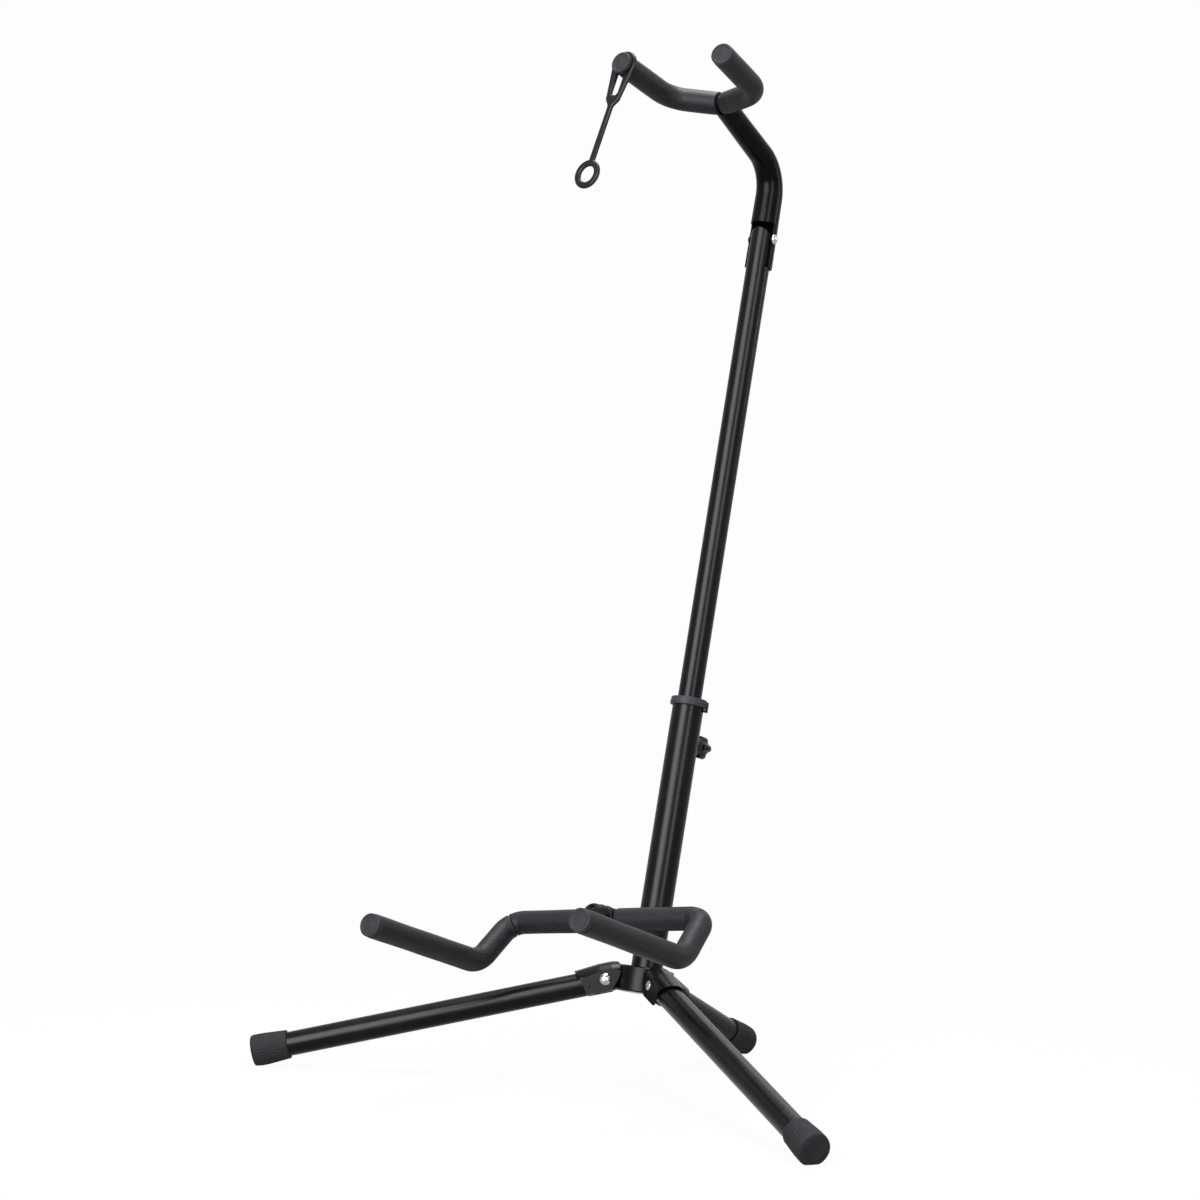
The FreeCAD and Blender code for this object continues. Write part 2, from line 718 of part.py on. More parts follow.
def make_head():
    """The two halves of the head, drawn along Z from the rod back to the column."""
    face = "cradle_reach - stub_reach - head_face_gap"
    spigot = "stub_radius - stub_wall - running_gap"
    base = turned("head_base_blank", [
        ("0", "head_split_gap"),
        ("head_radius", "head_split_gap"),
        ("head_radius", face),
        (spigot, face),
        (spigot, face + " + head_spigot"),
        ("0", face + " + head_spigot"),
    ])
    base.Placement = Placement(Vector(), ALONG_Y)
    reach = size("cut_overrun")
    rod_bore = place(-reach, 0, 0, ALONG_X)
    slot_y = number("cradle_reach - stub_reach + stop_pin_inset")
    tools = [
        cylinder("base_rod_bore", "rod_radius + running_gap", "2 * cut_overrun", rod_bore),
        block("stop_slot", "stop_slot_width", "2 * (stop_pin_radius + stop_slot_gap)",
              "2 * cut_overrun", place(0, slot_y, 0)),
    ]
    cap = turned("head_cap_blank", [
        ("0", "head_split_gap"),
        ("head_cap_radius", "head_split_gap"),
        ("head_cap_radius", "head_cap_length - head_dome",
         "(head_cap_radius^2 + head_dome^2) / (2 * head_dome)"),
        ("0", "head_cap_length"),
    ])
    cap.Placement = Placement(Vector(), Rotation(Z_AXIS, -Y_AXIS))
    cap_tools = [cylinder("cap_rod_bore", "rod_radius + running_gap", "2 * cut_overrun", rod_bore)]
    screws = []
    for side, sign in (("upper", 1), ("lower", -1)):
        line = place(0, 0, sign * size("head_screw_offset"), Rotation(Z_AXIS, -Y_AXIS))
        back = line.multiply(place(0, 0, -size("head_screw_bite")))
        seat = line.multiply(place(0, 0, size("head_screw_seat")))
        for owner, holes in (("base", tools), ("cap", cap_tools)):
            holes.append(cylinder("%s_%s_screw_hole" % (owner, side),
                                  "head_screw_radius + fixed_gap",
                                  "head_screw_bite + head_screw_seat", back))
        cap_tools.append(cylinder(side + "_counterbore", "head_screw_head_radius + running_gap",
                                  "cut_overrun", seat))
        shank = cylinder(side + "_screw_shank", "head_screw_radius",
                         "head_screw_bite + head_screw_seat", back)
        top = cylinder(side + "_screw_head", "head_screw_head_radius", "head_screw_head_height", seat)
        screws.append(fused(side + "_screw", shank, top))
    keep(cut("head_base", base, *tools), "head_base", head)
    keep(cut("head_cap", cap, *cap_tools), "head_cap", head)
    pair = doc.addObject("Part::Compound", "head_screws")
    pair.Links = screws
    keep(pair, "head_screws", head)


# Cradle

def cradle_points(side):
    """The rod's line on one side, from the head to the tip."""
    across = side * size("cradle_half_width")
    spread = side * (size("cradle_half_width") + size("cradle_spread"))
    dip_forward = -size("cradle_dip_reach")
    tip_forward = dip_forward - size("cradle_arm_reach")
    tip_height = size("cradle_arm_rise") - size("cradle_dip")
    corner = Vector(across, 0, 0)
    bend = Vector(spread, dip_forward, -size("cradle_dip"))
    return [corner, bend, Vector(spread, tip_forward, tip_height)]


def shortened(points, inset):
    """The same line with its last point drawn back."""
    back = (points[-2] - points[-1]).normalize() * inset
    return points[:-1] + [points[-1] + back]


def make_cradle():
    radii = [size("cradle_corner_radius"), size("cradle_bend_radius")]
    inset = size("cap_length") - size("cap_socket")
    left = shortened(cradle_points(-1), inset)
    right = shortened(cradle_points(1), inset)
    rod_route = bent_route(left[::-1] + right, radii[::-1] + radii)
    bent_node("cradle_rod", bar_along(rod_route, size("rod_radius")), head)
    for side, name in ((-1, "left"), (1, "right")):
        start = Vector(side * (size("head_cap_radius") + size("cradle_foam_gap")), 0, 0)
        line = [start] + shortened(cradle_points(side), size("cap_length") + size("fixed_gap"))
        route = bent_route(line, radii)
        bent_node("cradle_bar_foam_" + name, sleeve_along(route[:2]), head)
        bent_node("cradle_arm_foam_" + name, sleeve_along(route[2:]), head)
        tip = cradle_points(side)[-1]
        heading = tip - cradle_points(side)[-2]
        make_cap("cradle_cap_" + name, head.multiply(Placement(tip, Rotation(Z_AXIS, heading))))


def make_cap(name, frame):
    """A plug over the rod's end. Its outer face is at the origin and Z points outward."""
    socket = "rod_radius + fixed_gap"
    cap = turned(name, [
        (socket, "-cap_length"),
        ("cap_radius", "-cap_length"),
        ("cap_radius", "-cap_edge", "cap_edge"),
        ("cap_radius - cap_edge", "0"),
        ("0", "0"),
        ("0", "cap_socket - cap_length"),
        (socket, "cap_socket - cap_length"),
    ])
    keep(cap, name, frame)


# Yoke

def yoke_points(side):
    """The rod's line on one side, from its straight seat to the tip."""
    seat = Vector(side * size("yoke_seat_half_width"), 0, 0)
    corner = Vector(side * size("yoke_half_width"), -size("yoke_sweep"), 0)
    tip = Vector(side * size("yoke_tip_half_width"), -size("yoke_arm_length"), 0)
    return [seat, corner, tip]


def make_yoke():
    radii = [size("yoke_seat_radius"), size("yoke_bend_radius")]
    inset = size("cap_length") - size("cap_socket")
    left = shortened(yoke_points(-1), inset)
    right = shortened(yoke_points(1), inset)
    route = bent_route(left[::-1] + right, radii[::-1] + radii)
    bent_node("yoke_rod", bar_along(route, size("rod_radius")), yoke)
    post_length = number("strap_post_rim + strap_groove + cap_length")
    for side, name, inset in ((-1, "left", post_length), (1, "right", size("cap_length"))):
        start = Vector(side * size("yoke_foam_gap"), 0, 0)
        line = [start] + shortened(yoke_points(side), inset + size("fixed_gap"))
        bent_node("yoke_foam_" + name, sleeve_along(bent_route(line, radii)), yoke)
    right_tip = yoke_points(1)[-1]
    right_way = right_tip - yoke_points(1)[-2]
    make_cap("yoke_cap_right", yoke.multiply(Placement(right_tip, Rotation(Z_AXIS, right_way))))
    make_strap_post()


def left_tip_frame():
    """Origin on the left arm's end, Z outward along the arm and Y up."""
    tip = yoke_points(-1)[-1]
    along = yoke.Rotation.multVec(tip - yoke_points(-1)[-2]).normalize()
    upward = (Z_AXIS - along * Z_AXIS.dot(along)).normalize()
    return Placement(yoke.multVec(tip), Rotation(upward.cross(along), upward, along, "ZYX"))


def make_strap_post():
    """The left cap, with the groove in which the strap hangs."""
    socket = "rod_radius + fixed_gap"
    foot = "-(cap_length + strap_groove + strap_post_rim)"
    post = turned("yoke_cap_left", [
        (socket, foot),
        ("cap_radius", foot),
        ("cap_radius", "-(cap_length + strap_groove)"),
        ("strap_post_radius", "-(cap_length + strap_groove)"),
        ("strap_post_radius", "-cap_length"),
        ("cap_radius", "-cap_length"),
        ("cap_radius", "-cap_edge", "cap_edge"),
        ("cap_radius - cap_edge", "0"),
        ("0", "0"),
        ("0", "cap_socket - cap_length"),
        (socket, "cap_socket - cap_length"),
    ])
    keep(post, "yoke_cap_left", left_tip_frame())


def strap_frame():
    """Origin on the left arm's axis in the middle of the groove."""
    hang = place(0, 0, -number("cap_length + strap_groove / 2"), Rotation(Z_AXIS, size("strap_rest_angle")))
    return left_tip_frame().multiply(hang)


def make_strap():
    """The rubber strap, in one plane: loop, two strands, one strand and ring."""
    side = "strap_loop_radius * cos(strap_taper_angle)"
    tangent = "-strap_loop_radius * sin(strap_taper_angle)"
    waist = "%s - (%s - strap_half_width) / tan(strap_taper_angle)" % (tangent, side)
    shoulder = "-(strap_slot_length + strap_bridge)"
    strand_top = "-(strap_slot_length + strap_bridge + strap_shoulder_length)"
    half = [(side, tangent), ("strap_half_width", waist), ("strap_half_width", shoulder),
            ("strap_strand_half_width", strand_top), ("strap_strand_half_width", "-strap_length")]
    mirrored = [("-(%s)" % across, height) for across, height in half]
    solid = Placement(Vector(0, 0, -size("strap_thickness") / 2), ALONG_Z)
    through = place(0, 0, -size("cut_overrun") / 2)
    ring_centre = Vector(0, -size("strap_length"), 0)
    slot_end = Vector(0, size("strap_slot_half_width") - size("strap_slot_length"), 0)
    degrees = [(x.replace("taper_angle", "taper_angle * 1 deg"), y.replace("taper_angle", "taper_angle * 1 deg"))
               for x, y in half[::-1] + mirrored]
    outside = fused("strap_outside",
                    cylinder("strap_loop", "strap_loop_radius", "strap_thickness", solid),
                    extruded("strap_strands", "XY_Plane", degrees, "strap_thickness"),
                    cylinder("strap_ring", "strap_ring_radius", "strap_thickness",
                             Placement(ring_centre + solid.Base, ALONG_Z)))
    inside = [
        cylinder("strap_loop_hole", "strap_post_radius + strap_loop_gap", "cut_overrun", through),
        cylinder("strap_slot_end", "strap_slot_half_width", "cut_overrun",
                 Placement(slot_end + through.Base, ALONG_Z)),
        block("strap_slot", "2 * strap_slot_half_width", "strap_slot_length - strap_slot_half_width",
              "cut_overrun", Placement(slot_end * 0.5, ALONG_Z)),
        cylinder("strap_ring_hole", "strap_ring_bore", "cut_overrun",
                 Placement(ring_centre + through.Base, ALONG_Z)),
    ]
    keep(cut("neck_strap", outside, *inside), "neck_strap", strap_frame())


# Gooseneck

def neck_line():
    """Stations on the neck's centre line: place, heading and outer radius."""
    rise = math.radians(size("neck_rise_angle"))
    radius = size("neck_bend_radius")
    turn = math.pi / 2 - rise
    arc_reach = radius * (1 - math.cos(turn))
    arc_end = number(YOKE_HEIGHT) - (size("yoke_reach") - arc_reach) * math.tan(rise)
    knee = arc_end - radius * math.sin(turn)
    foot = (Vector(0, 0, number(YOKE_PIVOT + " - neck_skirt")), 0.0, size("neck_foot_radius"))
    bend = []
    for step in range(KNEE_STATION_COUNT):
        share = step / (KNEE_STATION_COUNT - 1)
        angle = turn * share
        at = Vector(0, -radius * (1 - math.cos(angle)), knee + radius * math.sin(angle))
        outer = size("neck_knee_radius") + (size("neck_arm_radius") - size("neck_knee_radius")) * share
        bend.append((at, angle, outer))
    end = (yoke_base, turn, size("neck_end_radius"))
    return foot, bend, end


def neck_solid(wall):
    """The neck's outside, or with a wall its inside, as three joined lofts."""
    foot, bend, end = neck_line()

    def ring(station):
        at, angle, outer = station
        heading = Vector(0, -math.sin(angle), math.cos(angle))
        return Part.Wire(Part.Circle(at, heading, outer - wall).toShape())

    lower = Part.makeLoft([ring(foot), ring(bend[0])], True, True)
    knee = Part.makeLoft([ring(station) for station in bend], True, False)
    upper = Part.makeLoft([ring(bend[-1]), ring(end)], True, True)
    return lower.fuse([knee, upper])


def make_neck():
    shell = doc.addObject("Part::Feature", "neck_shell")
    shell.Shape = neck_solid(0.0).cut(neck_solid(size("neck_wall")))
    reach = size("cut_overrun")
    pivot = number(YOKE_PIVOT)
    front_cut = block("neck_front_cut", "2 * cut_overrun", "cut_overrun",
                      "2 * (neck_skirt + neck_cut_rise)",
                      place(0, -reach / 2 - size("neck_cut_reach"), pivot - size("neck_skirt")))
    across = place(-reach, 0, pivot, ALONG_X)
    rivet_hole = cylinder("neck_rivet_hole", "yoke_rivet_radius + running_gap",
                          "2 * cut_overrun", across)
    saddle = cylinder("neck_saddle", "foam_radius + neck_foam_gap", "2 * cut_overrun",
                      Placement(yoke_base + Vector(-reach, 0, 0), ALONG_X))
    keep(cut("gooseneck", shell, front_cut, rivet_hole, saddle), "gooseneck", column)
    seat = "neck_foot_radius + rivet_seat_gap"
    rivet = domed_rivet("yoke_fold_rivet", "yoke_rivet", seat)
    keep(rivet, "yoke_fold_rivet", column.multiply(place(0, 0, pivot, ALONG_X)))


def make_neck_plug():
    """The plug in the neck's end, with the eye that the yoke rod passes through."""
    reach = size("cut_overrun")
    spigot = cylinder("neck_spigot", "neck_end_radius - neck_wall - fixed_gap", "neck_plug_length",
                      place(rotation=ALONG_Y))
    saddle = cylinder("plug_saddle", "foam_radius + neck_foam_gap", "2 * cut_overrun",
                      place(-reach, 0, 0, ALONG_X))
    half = size("neck_eye_half_width")
    eye = cylinder("neck_eye", "neck_eye_radius", "2 * neck_eye_half_width", place(-half, 0, 0, ALONG_X))
    tongue_length = "foam_radius + neck_foam_gap + neck_eye_half_width"
    tongue = block("neck_tongue", "2 * neck_eye_half_width", tongue_length,
                   "neck_eye_radius * 2", place(0, number(tongue_length) / 2, 0))
    blank = fused("neck_plug_blank", cut("neck_spigot_cut", spigot, saddle), eye, tongue)
    hole = cylinder("neck_eye_hole", "rod_radius + fixed_gap", "2 * cut_overrun",
                    place(-reach, 0, 0, ALONG_X))
    keep(cut("neck_plug", blank, hole), "neck_plug", neck_end)


def settle_origin():
    """Put the origin on the floor, in the middle of the whole stand's outline."""
    whole = None
    for item in nodes.values():
        box = item.Shape.optimalBoundingBox()
        if whole is None:
            whole = FreeCAD.BoundBox(box)
        whole.add(box)
    shift = Vector(-whole.Center.x, -whole.Center.y, -whole.ZMin)
    for item in nodes.values():
        item.Placement = Placement(shift, ALONG_Z).multiply(item.Placement)
    doc.recompute()
    return shift


def joint_lines(shift):
    """Name, point and direction of each line that something turns or slides on."""
    lines = []
    for index, name in enumerate(LEG_NAMES):
        frame = leg_frame(index, hub_centre_height)
        lines.append((name + "_leg_fold", frame.Base, frame.Rotation.multVec(Y_AXIS)))
    up = column.Rotation.multVec(Z_AXIS)
    back = column.Rotation.multVec(Y_AXIS)
    lines.append(("height_slide", column.multVec(Vector(0, 0, size("lower_tube_top"))), up))
    lines.append(("clamp_line", column.multVec(Vector(0, 0, number(CLAMP_HEIGHT))), back))
    lines.append(("yoke_fold", column.multVec(Vector(0, 0, number(YOKE_PIVOT))), X_AXIS))
    strap = strap_frame()
    lines.append(("strap_swing", strap.Base, strap.Rotation.multVec(Z_AXIS)))
    lines.append(("cradle_rock", head.Base, head.Rotation.multVec(-Y_AXIS)))
    lines.append(("cradle_fold", head.Base, head.Rotation.multVec(-X_AXIS)))
    return [(name, point + shift, way) for name, point, way in lines]


def check_and_write():
    """Stop on any failed object, then write one file for each sub-part."""
    for item in doc.Objects:
        if "Invalid" in item.State or "Error" in item.State:
            raise RuntimeError("failed object: " + item.Label)
    os.makedirs("parts", exist_ok=True)
    for name, item in nodes.items():
        shape = item.Shape
        if shape.isNull() or not shape.isValid() or not shape.Solids:
            raise RuntimeError("bad shape: " + name)
        shape.exportStep("parts/%s.step" % name)
        print("%-24s %d solid(s) %10.1f mm3" % (name, len(shape.Solids), shape.Volume))


make_lower_tube()
make_hub()
make_column_plug()
make_collar()
make_upper_tube()
make_guide_bush()
make_clamp()
make_legs()
make_stub()
make_head()
make_cradle()
make_yoke()
make_strap()
make_neck()
make_neck_plug()
doc.recompute()
origin_shift = settle_origin()
check_and_write()
for line_name, line_point, line_way in joint_lines(origin_shift):
    print("%-16s (%.3f, %.3f, %.3f)  (%.5f, %.5f, %.5f)" % (line_name, *line_point, *line_way))
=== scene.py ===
"""Dresses the folding guitar stand: foam sleeves, rubber, paint and plated rivets.

Sizes are in millimetres and degrees and are turned into metres where a mesh is made.
"""

from __future__ import annotations

import json
import logging
import math
from abc import ABC, abstractmethod
from collections.abc import Callable, Sequence
from dataclasses import dataclass
from enum import Enum
from typing import Any

import bmesh
import bpy
from mathutils import Matrix, Vector

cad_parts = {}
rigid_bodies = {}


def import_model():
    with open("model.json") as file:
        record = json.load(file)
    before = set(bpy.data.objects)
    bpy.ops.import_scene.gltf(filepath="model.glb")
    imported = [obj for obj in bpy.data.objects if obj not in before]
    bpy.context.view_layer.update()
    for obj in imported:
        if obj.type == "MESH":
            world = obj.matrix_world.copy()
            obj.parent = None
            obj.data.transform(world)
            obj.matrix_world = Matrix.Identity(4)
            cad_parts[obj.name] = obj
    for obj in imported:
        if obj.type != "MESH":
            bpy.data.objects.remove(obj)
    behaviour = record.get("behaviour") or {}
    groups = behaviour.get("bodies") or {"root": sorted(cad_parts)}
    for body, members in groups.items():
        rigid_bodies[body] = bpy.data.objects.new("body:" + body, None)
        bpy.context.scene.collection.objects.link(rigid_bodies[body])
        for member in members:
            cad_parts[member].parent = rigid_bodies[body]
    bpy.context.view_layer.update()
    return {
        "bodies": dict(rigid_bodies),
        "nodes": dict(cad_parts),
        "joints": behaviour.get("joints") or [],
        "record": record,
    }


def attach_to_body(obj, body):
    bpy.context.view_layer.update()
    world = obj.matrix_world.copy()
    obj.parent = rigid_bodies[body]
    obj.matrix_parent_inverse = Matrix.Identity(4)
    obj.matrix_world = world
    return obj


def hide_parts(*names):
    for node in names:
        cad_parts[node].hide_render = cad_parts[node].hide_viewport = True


MM = 0.001
METRE = 1000.0
TURN = 2 * math.pi
CREASE = 38.0
EASE_SHARE = 0.48
FINE_DETAIL = 2.0
CLOUD_DETAIL = 4.0
log = logging.getLogger("guitar_stand")

Pair = tuple[float, float]
Triple = tuple[float, float, float]
Colour = Triple
Profile = list[Pair]
Shape = Callable[[float, float, float], float]
Material = bpy.types.Material
Object = bpy.types.Object
Ring = list[bmesh.types.BMVert]


class Named(Enum):
    """Members whose names are part of the names of pieces, nodes and bodies."""

    @property
    def word(self) -> str:
        """The member's name as it is in a piece's name."""
        return self.name.lower()


class Side(Named):
    """The two sides of the stand, as the sign of their X."""

    LEFT = -1
    RIGHT = 1


class Leg(Named):
    """The three legs, as thirds of a turn from the back."""

    REAR = 0
    LEFT = 1
    RIGHT = 2


class Slot(Enum):
    """The record's finish names, which new pieces are passed with."""

    PAINT = "black_paint"
    PLASTIC = "black_plastic"
    FOOT = "foot_rubber"
    STRAP = "strap_rubber"
    FOAM = "foam"


# Shader sheet


class Wire:
    """An output socket. Arithmetic on it adds Math nodes to its sheet."""

    def __init__(self, sheet: ShaderSheet, socket: bpy.types.NodeSocket | None) -> None:
        """Wrap one socket of a sheet, or none for a node that only takes."""
        self.sheet = sheet
        self.socket = socket

    def maths(self, operation: str, other: Wire | float, clip: bool = False) -> Wire:
        """Add one Math node, with this wire first; clip keeps the result from 0 to 1."""
        inputs = {0: self, 1: other}
        return self.sheet.node("Math", inputs, operation=operation, use_clamp=clip)

    def __add__(self, other: Wire | float) -> Wire:
        """Sum."""
        return self.maths("ADD", other)

    def __mul__(self, other: Wire | float) -> Wire:
        """Product."""
        return self.maths("MULTIPLY", other)

    def step(self, low: float, high: float) -> Wire:
        """Smooth step: 0 under low and 1 over high."""
        inputs = {"Value": self, "From Min": low, "From Max": high}
        return self.sheet.node("MapRange", inputs, interpolation_type="SMOOTHSTEP")


class ShaderSheet:
    """A node tree that is written as calls and expressions."""

    # The Mix node's colour sockets, whose names its other sockets share
    first_colour, second_colour, mixed_colour = 6, 7, 2

    def __init__(self, owner: Material | bpy.types.World) -> None:
        """Start with an empty tree."""
        owner.use_nodes = True
        self.tree = owner.node_tree
        self.tree.nodes.clear()

    def node(
        self, kind: str, inputs: dict[str | int, Any], output: str | int = 0, **settings: Any
    ) -> Wire:
        """Add a node.

        Args:
            kind: the node's type, as it follows ShaderNode.
            inputs: numbers, colours or wires for its sockets, by name or number.
            output: the socket to give back.
            settings: what is set on the node itself, before its sockets.

        Returns:
            The chosen output.
        """
        item = self.tree.nodes.new(f"ShaderNode{kind}")
        for key, value in settings.items():
            setattr(item, key, value)
        for key, value in inputs.items():
            if isinstance(value, Wire):
                self.tree.links.new(value.socket, item.inputs[key])
            else:
                item.inputs[key].default_value = value
        return Wire(self, item.outputs[output] if len(item.outputs) else None)

    def place(self, stretch: Triple = (1.0, 1.0, 1.0)) -> Wire:
        """Where a point is on its own piece, stretched along the axes."""
        at = self.node("TexCoord", {}, "Object")
        return self.node("VectorMath", {0: at, 1: stretch}, operation="MULTIPLY")

    def tint(self, share: Wire, first: Colour, second: Colour) -> Wire:
        """A colour between two, by a share."""
        inputs = {0: share, self.first_colour: (*first, 1.0), self.second_colour: (*second, 1.0)}
        return self.node("Mix", inputs, self.mixed_colour, data_type="RGBA")

    def bump(self, height: Wire, depth: float, strength: float) -> Wire:
        """A normal from a height of the given depth in millimetres."""
        inputs = {"Height": height, "Distance": depth * MM, "Strength": strength}
        return self.node("Bump", inputs)


def weighted(wires: Sequence[Wire], weights: Sequence[float]) -> Wire:
    """The sum of the wires that have a weight, each times its own."""
    first, *others = [wire * weight for wire, weight in zip(wires, weights) if weight]
    return sum(others, start=first)


# Finishes


@dataclass(frozen=True)
class Layer:
    """One noise of a finish, and what it adds to the shade, the roughness and the height.

    Its window is stepped smoothly for the shade or, if the layer is hard, for all three.
    """

    scale: float
    detail: float = CLOUD_DETAIL
    shade: float = 0.0
    rough: float = 0.0
    height: float = 0.0
    window: Pair | None = None
    hard: bool = False
    stretch: Triple = (1.0, 1.0, 1.0)
    cells: bool = False

    def wires(self, sheet: ShaderSheet) -> tuple[Wire, Wire]:
        """The layer for the roughness and the height, and for the shade."""
        inputs = {"Vector": sheet.place(self.stretch), "Scale": self.scale}
        if self.cells:
            plain = sheet.node("TexVoronoi", inputs, "Distance")
        else:
            plain = sheet.node("TexNoise", {**inputs, "Detail": self.detail}, "Fac")
        stepped = plain.step(*self.window) if self.window else plain
        return (stepped if self.hard else plain), stepped


@dataclass(frozen=True)
class Finish:
    """A material between two shades, with layers of noise."""

    name: str
    shades: tuple[Colour, Colour]
    roughness: float
    layers: tuple[Layer, ...]
    gloss: float = 0.12
    shade: float = 0.0
    depth: float = 0.05
    strength: float = 1.0
    metallic: float = 0.0

    def make(self) -> Material:
        """Build the material."""
        material = bpy.data.materials.new(self.name)
        sheet = ShaderSheet(material)
        plain, shown = zip(*(layer.wires(sheet) for layer in self.layers))
        shade = weighted(shown, [layer.shade for layer in self.layers]) + self.shade
        rough = weighted(plain, [layer.rough for layer in self.layers]) + self.roughness
        height = weighted(plain, [layer.height for layer in self.layers])
        inputs = {
            "Metallic": self.metallic,
            "Specular IOR Level": self.gloss,
            "Base Color": sheet.tint(shade, *self.shades),
            "Roughness": rough,
            "Normal": sheet.bump(height, self.depth, self.strength),
        }
        shader = sheet.node("BsdfPrincipled", inputs)
        sheet.node("OutputMaterial", {"Surface": shader})
        return material


def painted(
    name: str, rough: float = 0.24, gloss: float = 0.1, peel: float = 2.6, depth: float = 0.006
) -> Finish:
    """Satin black paint sprayed on steel: dust in clouds, faint rubs and orange peel."""
    layers = (
        Layer(38.0, shade=0.6, rough=0.1, window=(0.35, 0.75)),
        Layer(320.0, shade=0.4, rough=0.06, window=(0.62, 0.78), hard=True),
        Layer(METRE / peel, FINE_DETAIL, height=1.0),
    )
    shades = (0.0006, 0.0006, 0.0008), (0.0018, 0.0018, 0.0024)
    return Finish(name, shades, rough, layers, gloss, depth=depth)


def moulded(
    name: str,
    dark: Colour,
    pale: Colour,
    rough: float,
    gloss: float = 0.12,
    grain: float = 0.5,
    depth: float = 0.05,
) -> Finish:
    """Moulded rubber or plastic: fine spark grain under a mottled, dusty bloom."""
    layers = (
        Layer(METRE / grain, FINE_DETAIL, shade=0.4, rough=0.06, height=1.0),
        Layer(120.0, shade=0.75, rough=0.14),
    )
    return Finish(name, (dark, pale), rough, layers, gloss, -0.15, depth)


def foamed(name: str) -> Finish:
    """Closed-cell foam with a skin: drawing lines, fine cells, specks and soft mottling."""
    layers = (
        Layer(METRE / 1.7, FINE_DETAIL, shade=0.42, height=0.9, window=(0.36, 0.66)),
        Layer(METRE / 0.75, shade=0.3, rough=0.08, height=0.4, cells=True),
        Layer(1500.0, 3.0, height=0.25),
        Layer(70.0, shade=0.35, rough=0.12, height=0.9),
    )
    shades = (0.002, 0.002, 0.0024), (0.0075, 0.0075, 0.0088)
    return Finish(name, shades, 0.42, layers, shade=-0.12, depth=0.2, strength=0.8)


def plated(name: str) -> Finish:
    """Bright nickel-plated steel with a little tarnish and fine turning marks."""
    layers = (
        Layer(420.0, shade=1.0, rough=0.2, window=(0.45, 0.8)),
        Layer(900.0, FINE_DETAIL, rough=0.1, height=1.0, stretch=(1.0, 1.0, 14.0)),
    )
    shades = (0.42, 0.42, 0.415), (0.24, 0.237, 0.23)
    return Finish(name, shades, 0.1, layers, gloss=0.5, depth=0.01, metallic=1.0)


class Look(Enum):
    """Every finish of the stand, by what it is on."""

    PAINT = painted("tube_paint")
    NECK = painted("neck_paint", 0.18, 0.045)
    CAST = painted("casting_paint", 0.28, 0.09, 1.4, 0.03)
    ROD = painted("rod_paint", 0.36)
    FOAM = foamed("sleeve_foam")
    BOOT = moulded("boot_rubber", (0.004, 0.004, 0.0045), (0.012, 0.012, 0.013), 0.6, 0.08)
    CAP = moulded(
        "cap_plastic", (0.0055, 0.0055, 0.006), (0.018, 0.018, 0.0195), 0.46, 0.09, 1.4, 0.16
    )
    STRAP = moulded(
        "strap_rubber_skin", (0.0018, 0.0019, 0.0021), (0.005, 0.0052, 0.0057), 0.24, 0.13
    )
    COLLAR = moulded("collar_plastic", (0.008, 0.008, 0.01), (0.018, 0.018, 0.021), 0.4)
    KNOB = moulded("knob_plastic", (0.001, 0.001, 0.0013), (0.003, 0.003, 0.0036), 0.14)
    HEAD = moulded("head_plastic", (0.0006, 0.0006, 0.0008), (0.0018, 0.0018, 0.0022), 0.3, 0.05)
    PLATED = plated("plated_steel")

    @property
    def material(self) -> Material:
        """The look's material, which is built at its first use."""
        return bpy.data.materials.get(self.value.name) or self.value.make()


# Mesh building


def around(count: int) -> list[float]:
    """Angles that share a full turn equally."""
    return [TURN * index / count for index in range(count)]


def eased(corners: Sequence[Triple], steps: int = 5) -> Profile:
    """A profile whose corners, each a radius, a height and a rounding, are rounded in steps."""
    points: Profile = []
    for index, (radius, height, ease) in enumerate(corners):
        here = Vector((radius, height))
        if ease <= 0 or index in (0, len(corners) - 1):
            points.append((radius, height))
            continue
        before = Vector(corners[index - 1][:2]) - here
        after = Vector(corners[index + 1][:2]) - here
        reach = min(ease, EASE_SHARE * before.length, EASE_SHARE * after.length)
        start, end = here + before.normalized() * reach, here + after.normalized() * reach
        for step in range(steps + 1):
            share = step / steps
            at = start * (1 - share) ** 2 + here * (2 * share * (1 - share)) + end * share**2
            points.append((at.x, at.y))
    return points


class Skin:
    """Rings of points that are joined in order into one mesh."""

    def __init__(self, name: str) -> None:
        """Start a mesh with no rings."""
        self.name = name
        self.mesh = bmesh.new()
        self.rings: list[Ring] = []

    def ring(self, points: Sequence[Vector]) -> None:
        """Add a ring, in millimetres; a single point is a pole."""
        self.rings.append([self.mesh.verts.new(point * MM) for point in points])

    def join(self, first: Ring, second: Ring) -> None:
        """Put faces between two rings."""
        count = max(len(first), len(second))
        for index in range(count):
            after = (index + 1) % count
            turns = ((first, index), (first, after), (second, after), (second, index))
            corners = dict.fromkeys(ring[place % len(ring)] for ring, place in turns)
            self.mesh.faces.new(list(corners))

    def piece(
        self, frame: Matrix, material: Material, endless: bool = False, crease: float = CREASE
    ) -> Object:
        """Finish the mesh and put it in its frame.

        Args:
            frame: the frame that the points are in, with its place in metres.
            material: the piece's finish.
            endless: the last ring joins the first.
            crease: the angle over which an edge stays sharp.

        Returns:
            The new object.
        """
        for first, second in zip(self.rings, self.rings[1:]):
            self.join(first, second)
        if endless:
            self.join(self.rings[-1], self.rings[0])
        bmesh.ops.transform(self.mesh, matrix=frame, verts=self.mesh.verts)
        bmesh.ops.recalc_face_normals(self.mesh, faces=self.mesh.faces)
        data = bpy.data.meshes.new(self.name)
        self.mesh.to_mesh(data)
        self.mesh.free()
        return finished(self.name, data, material, crease)


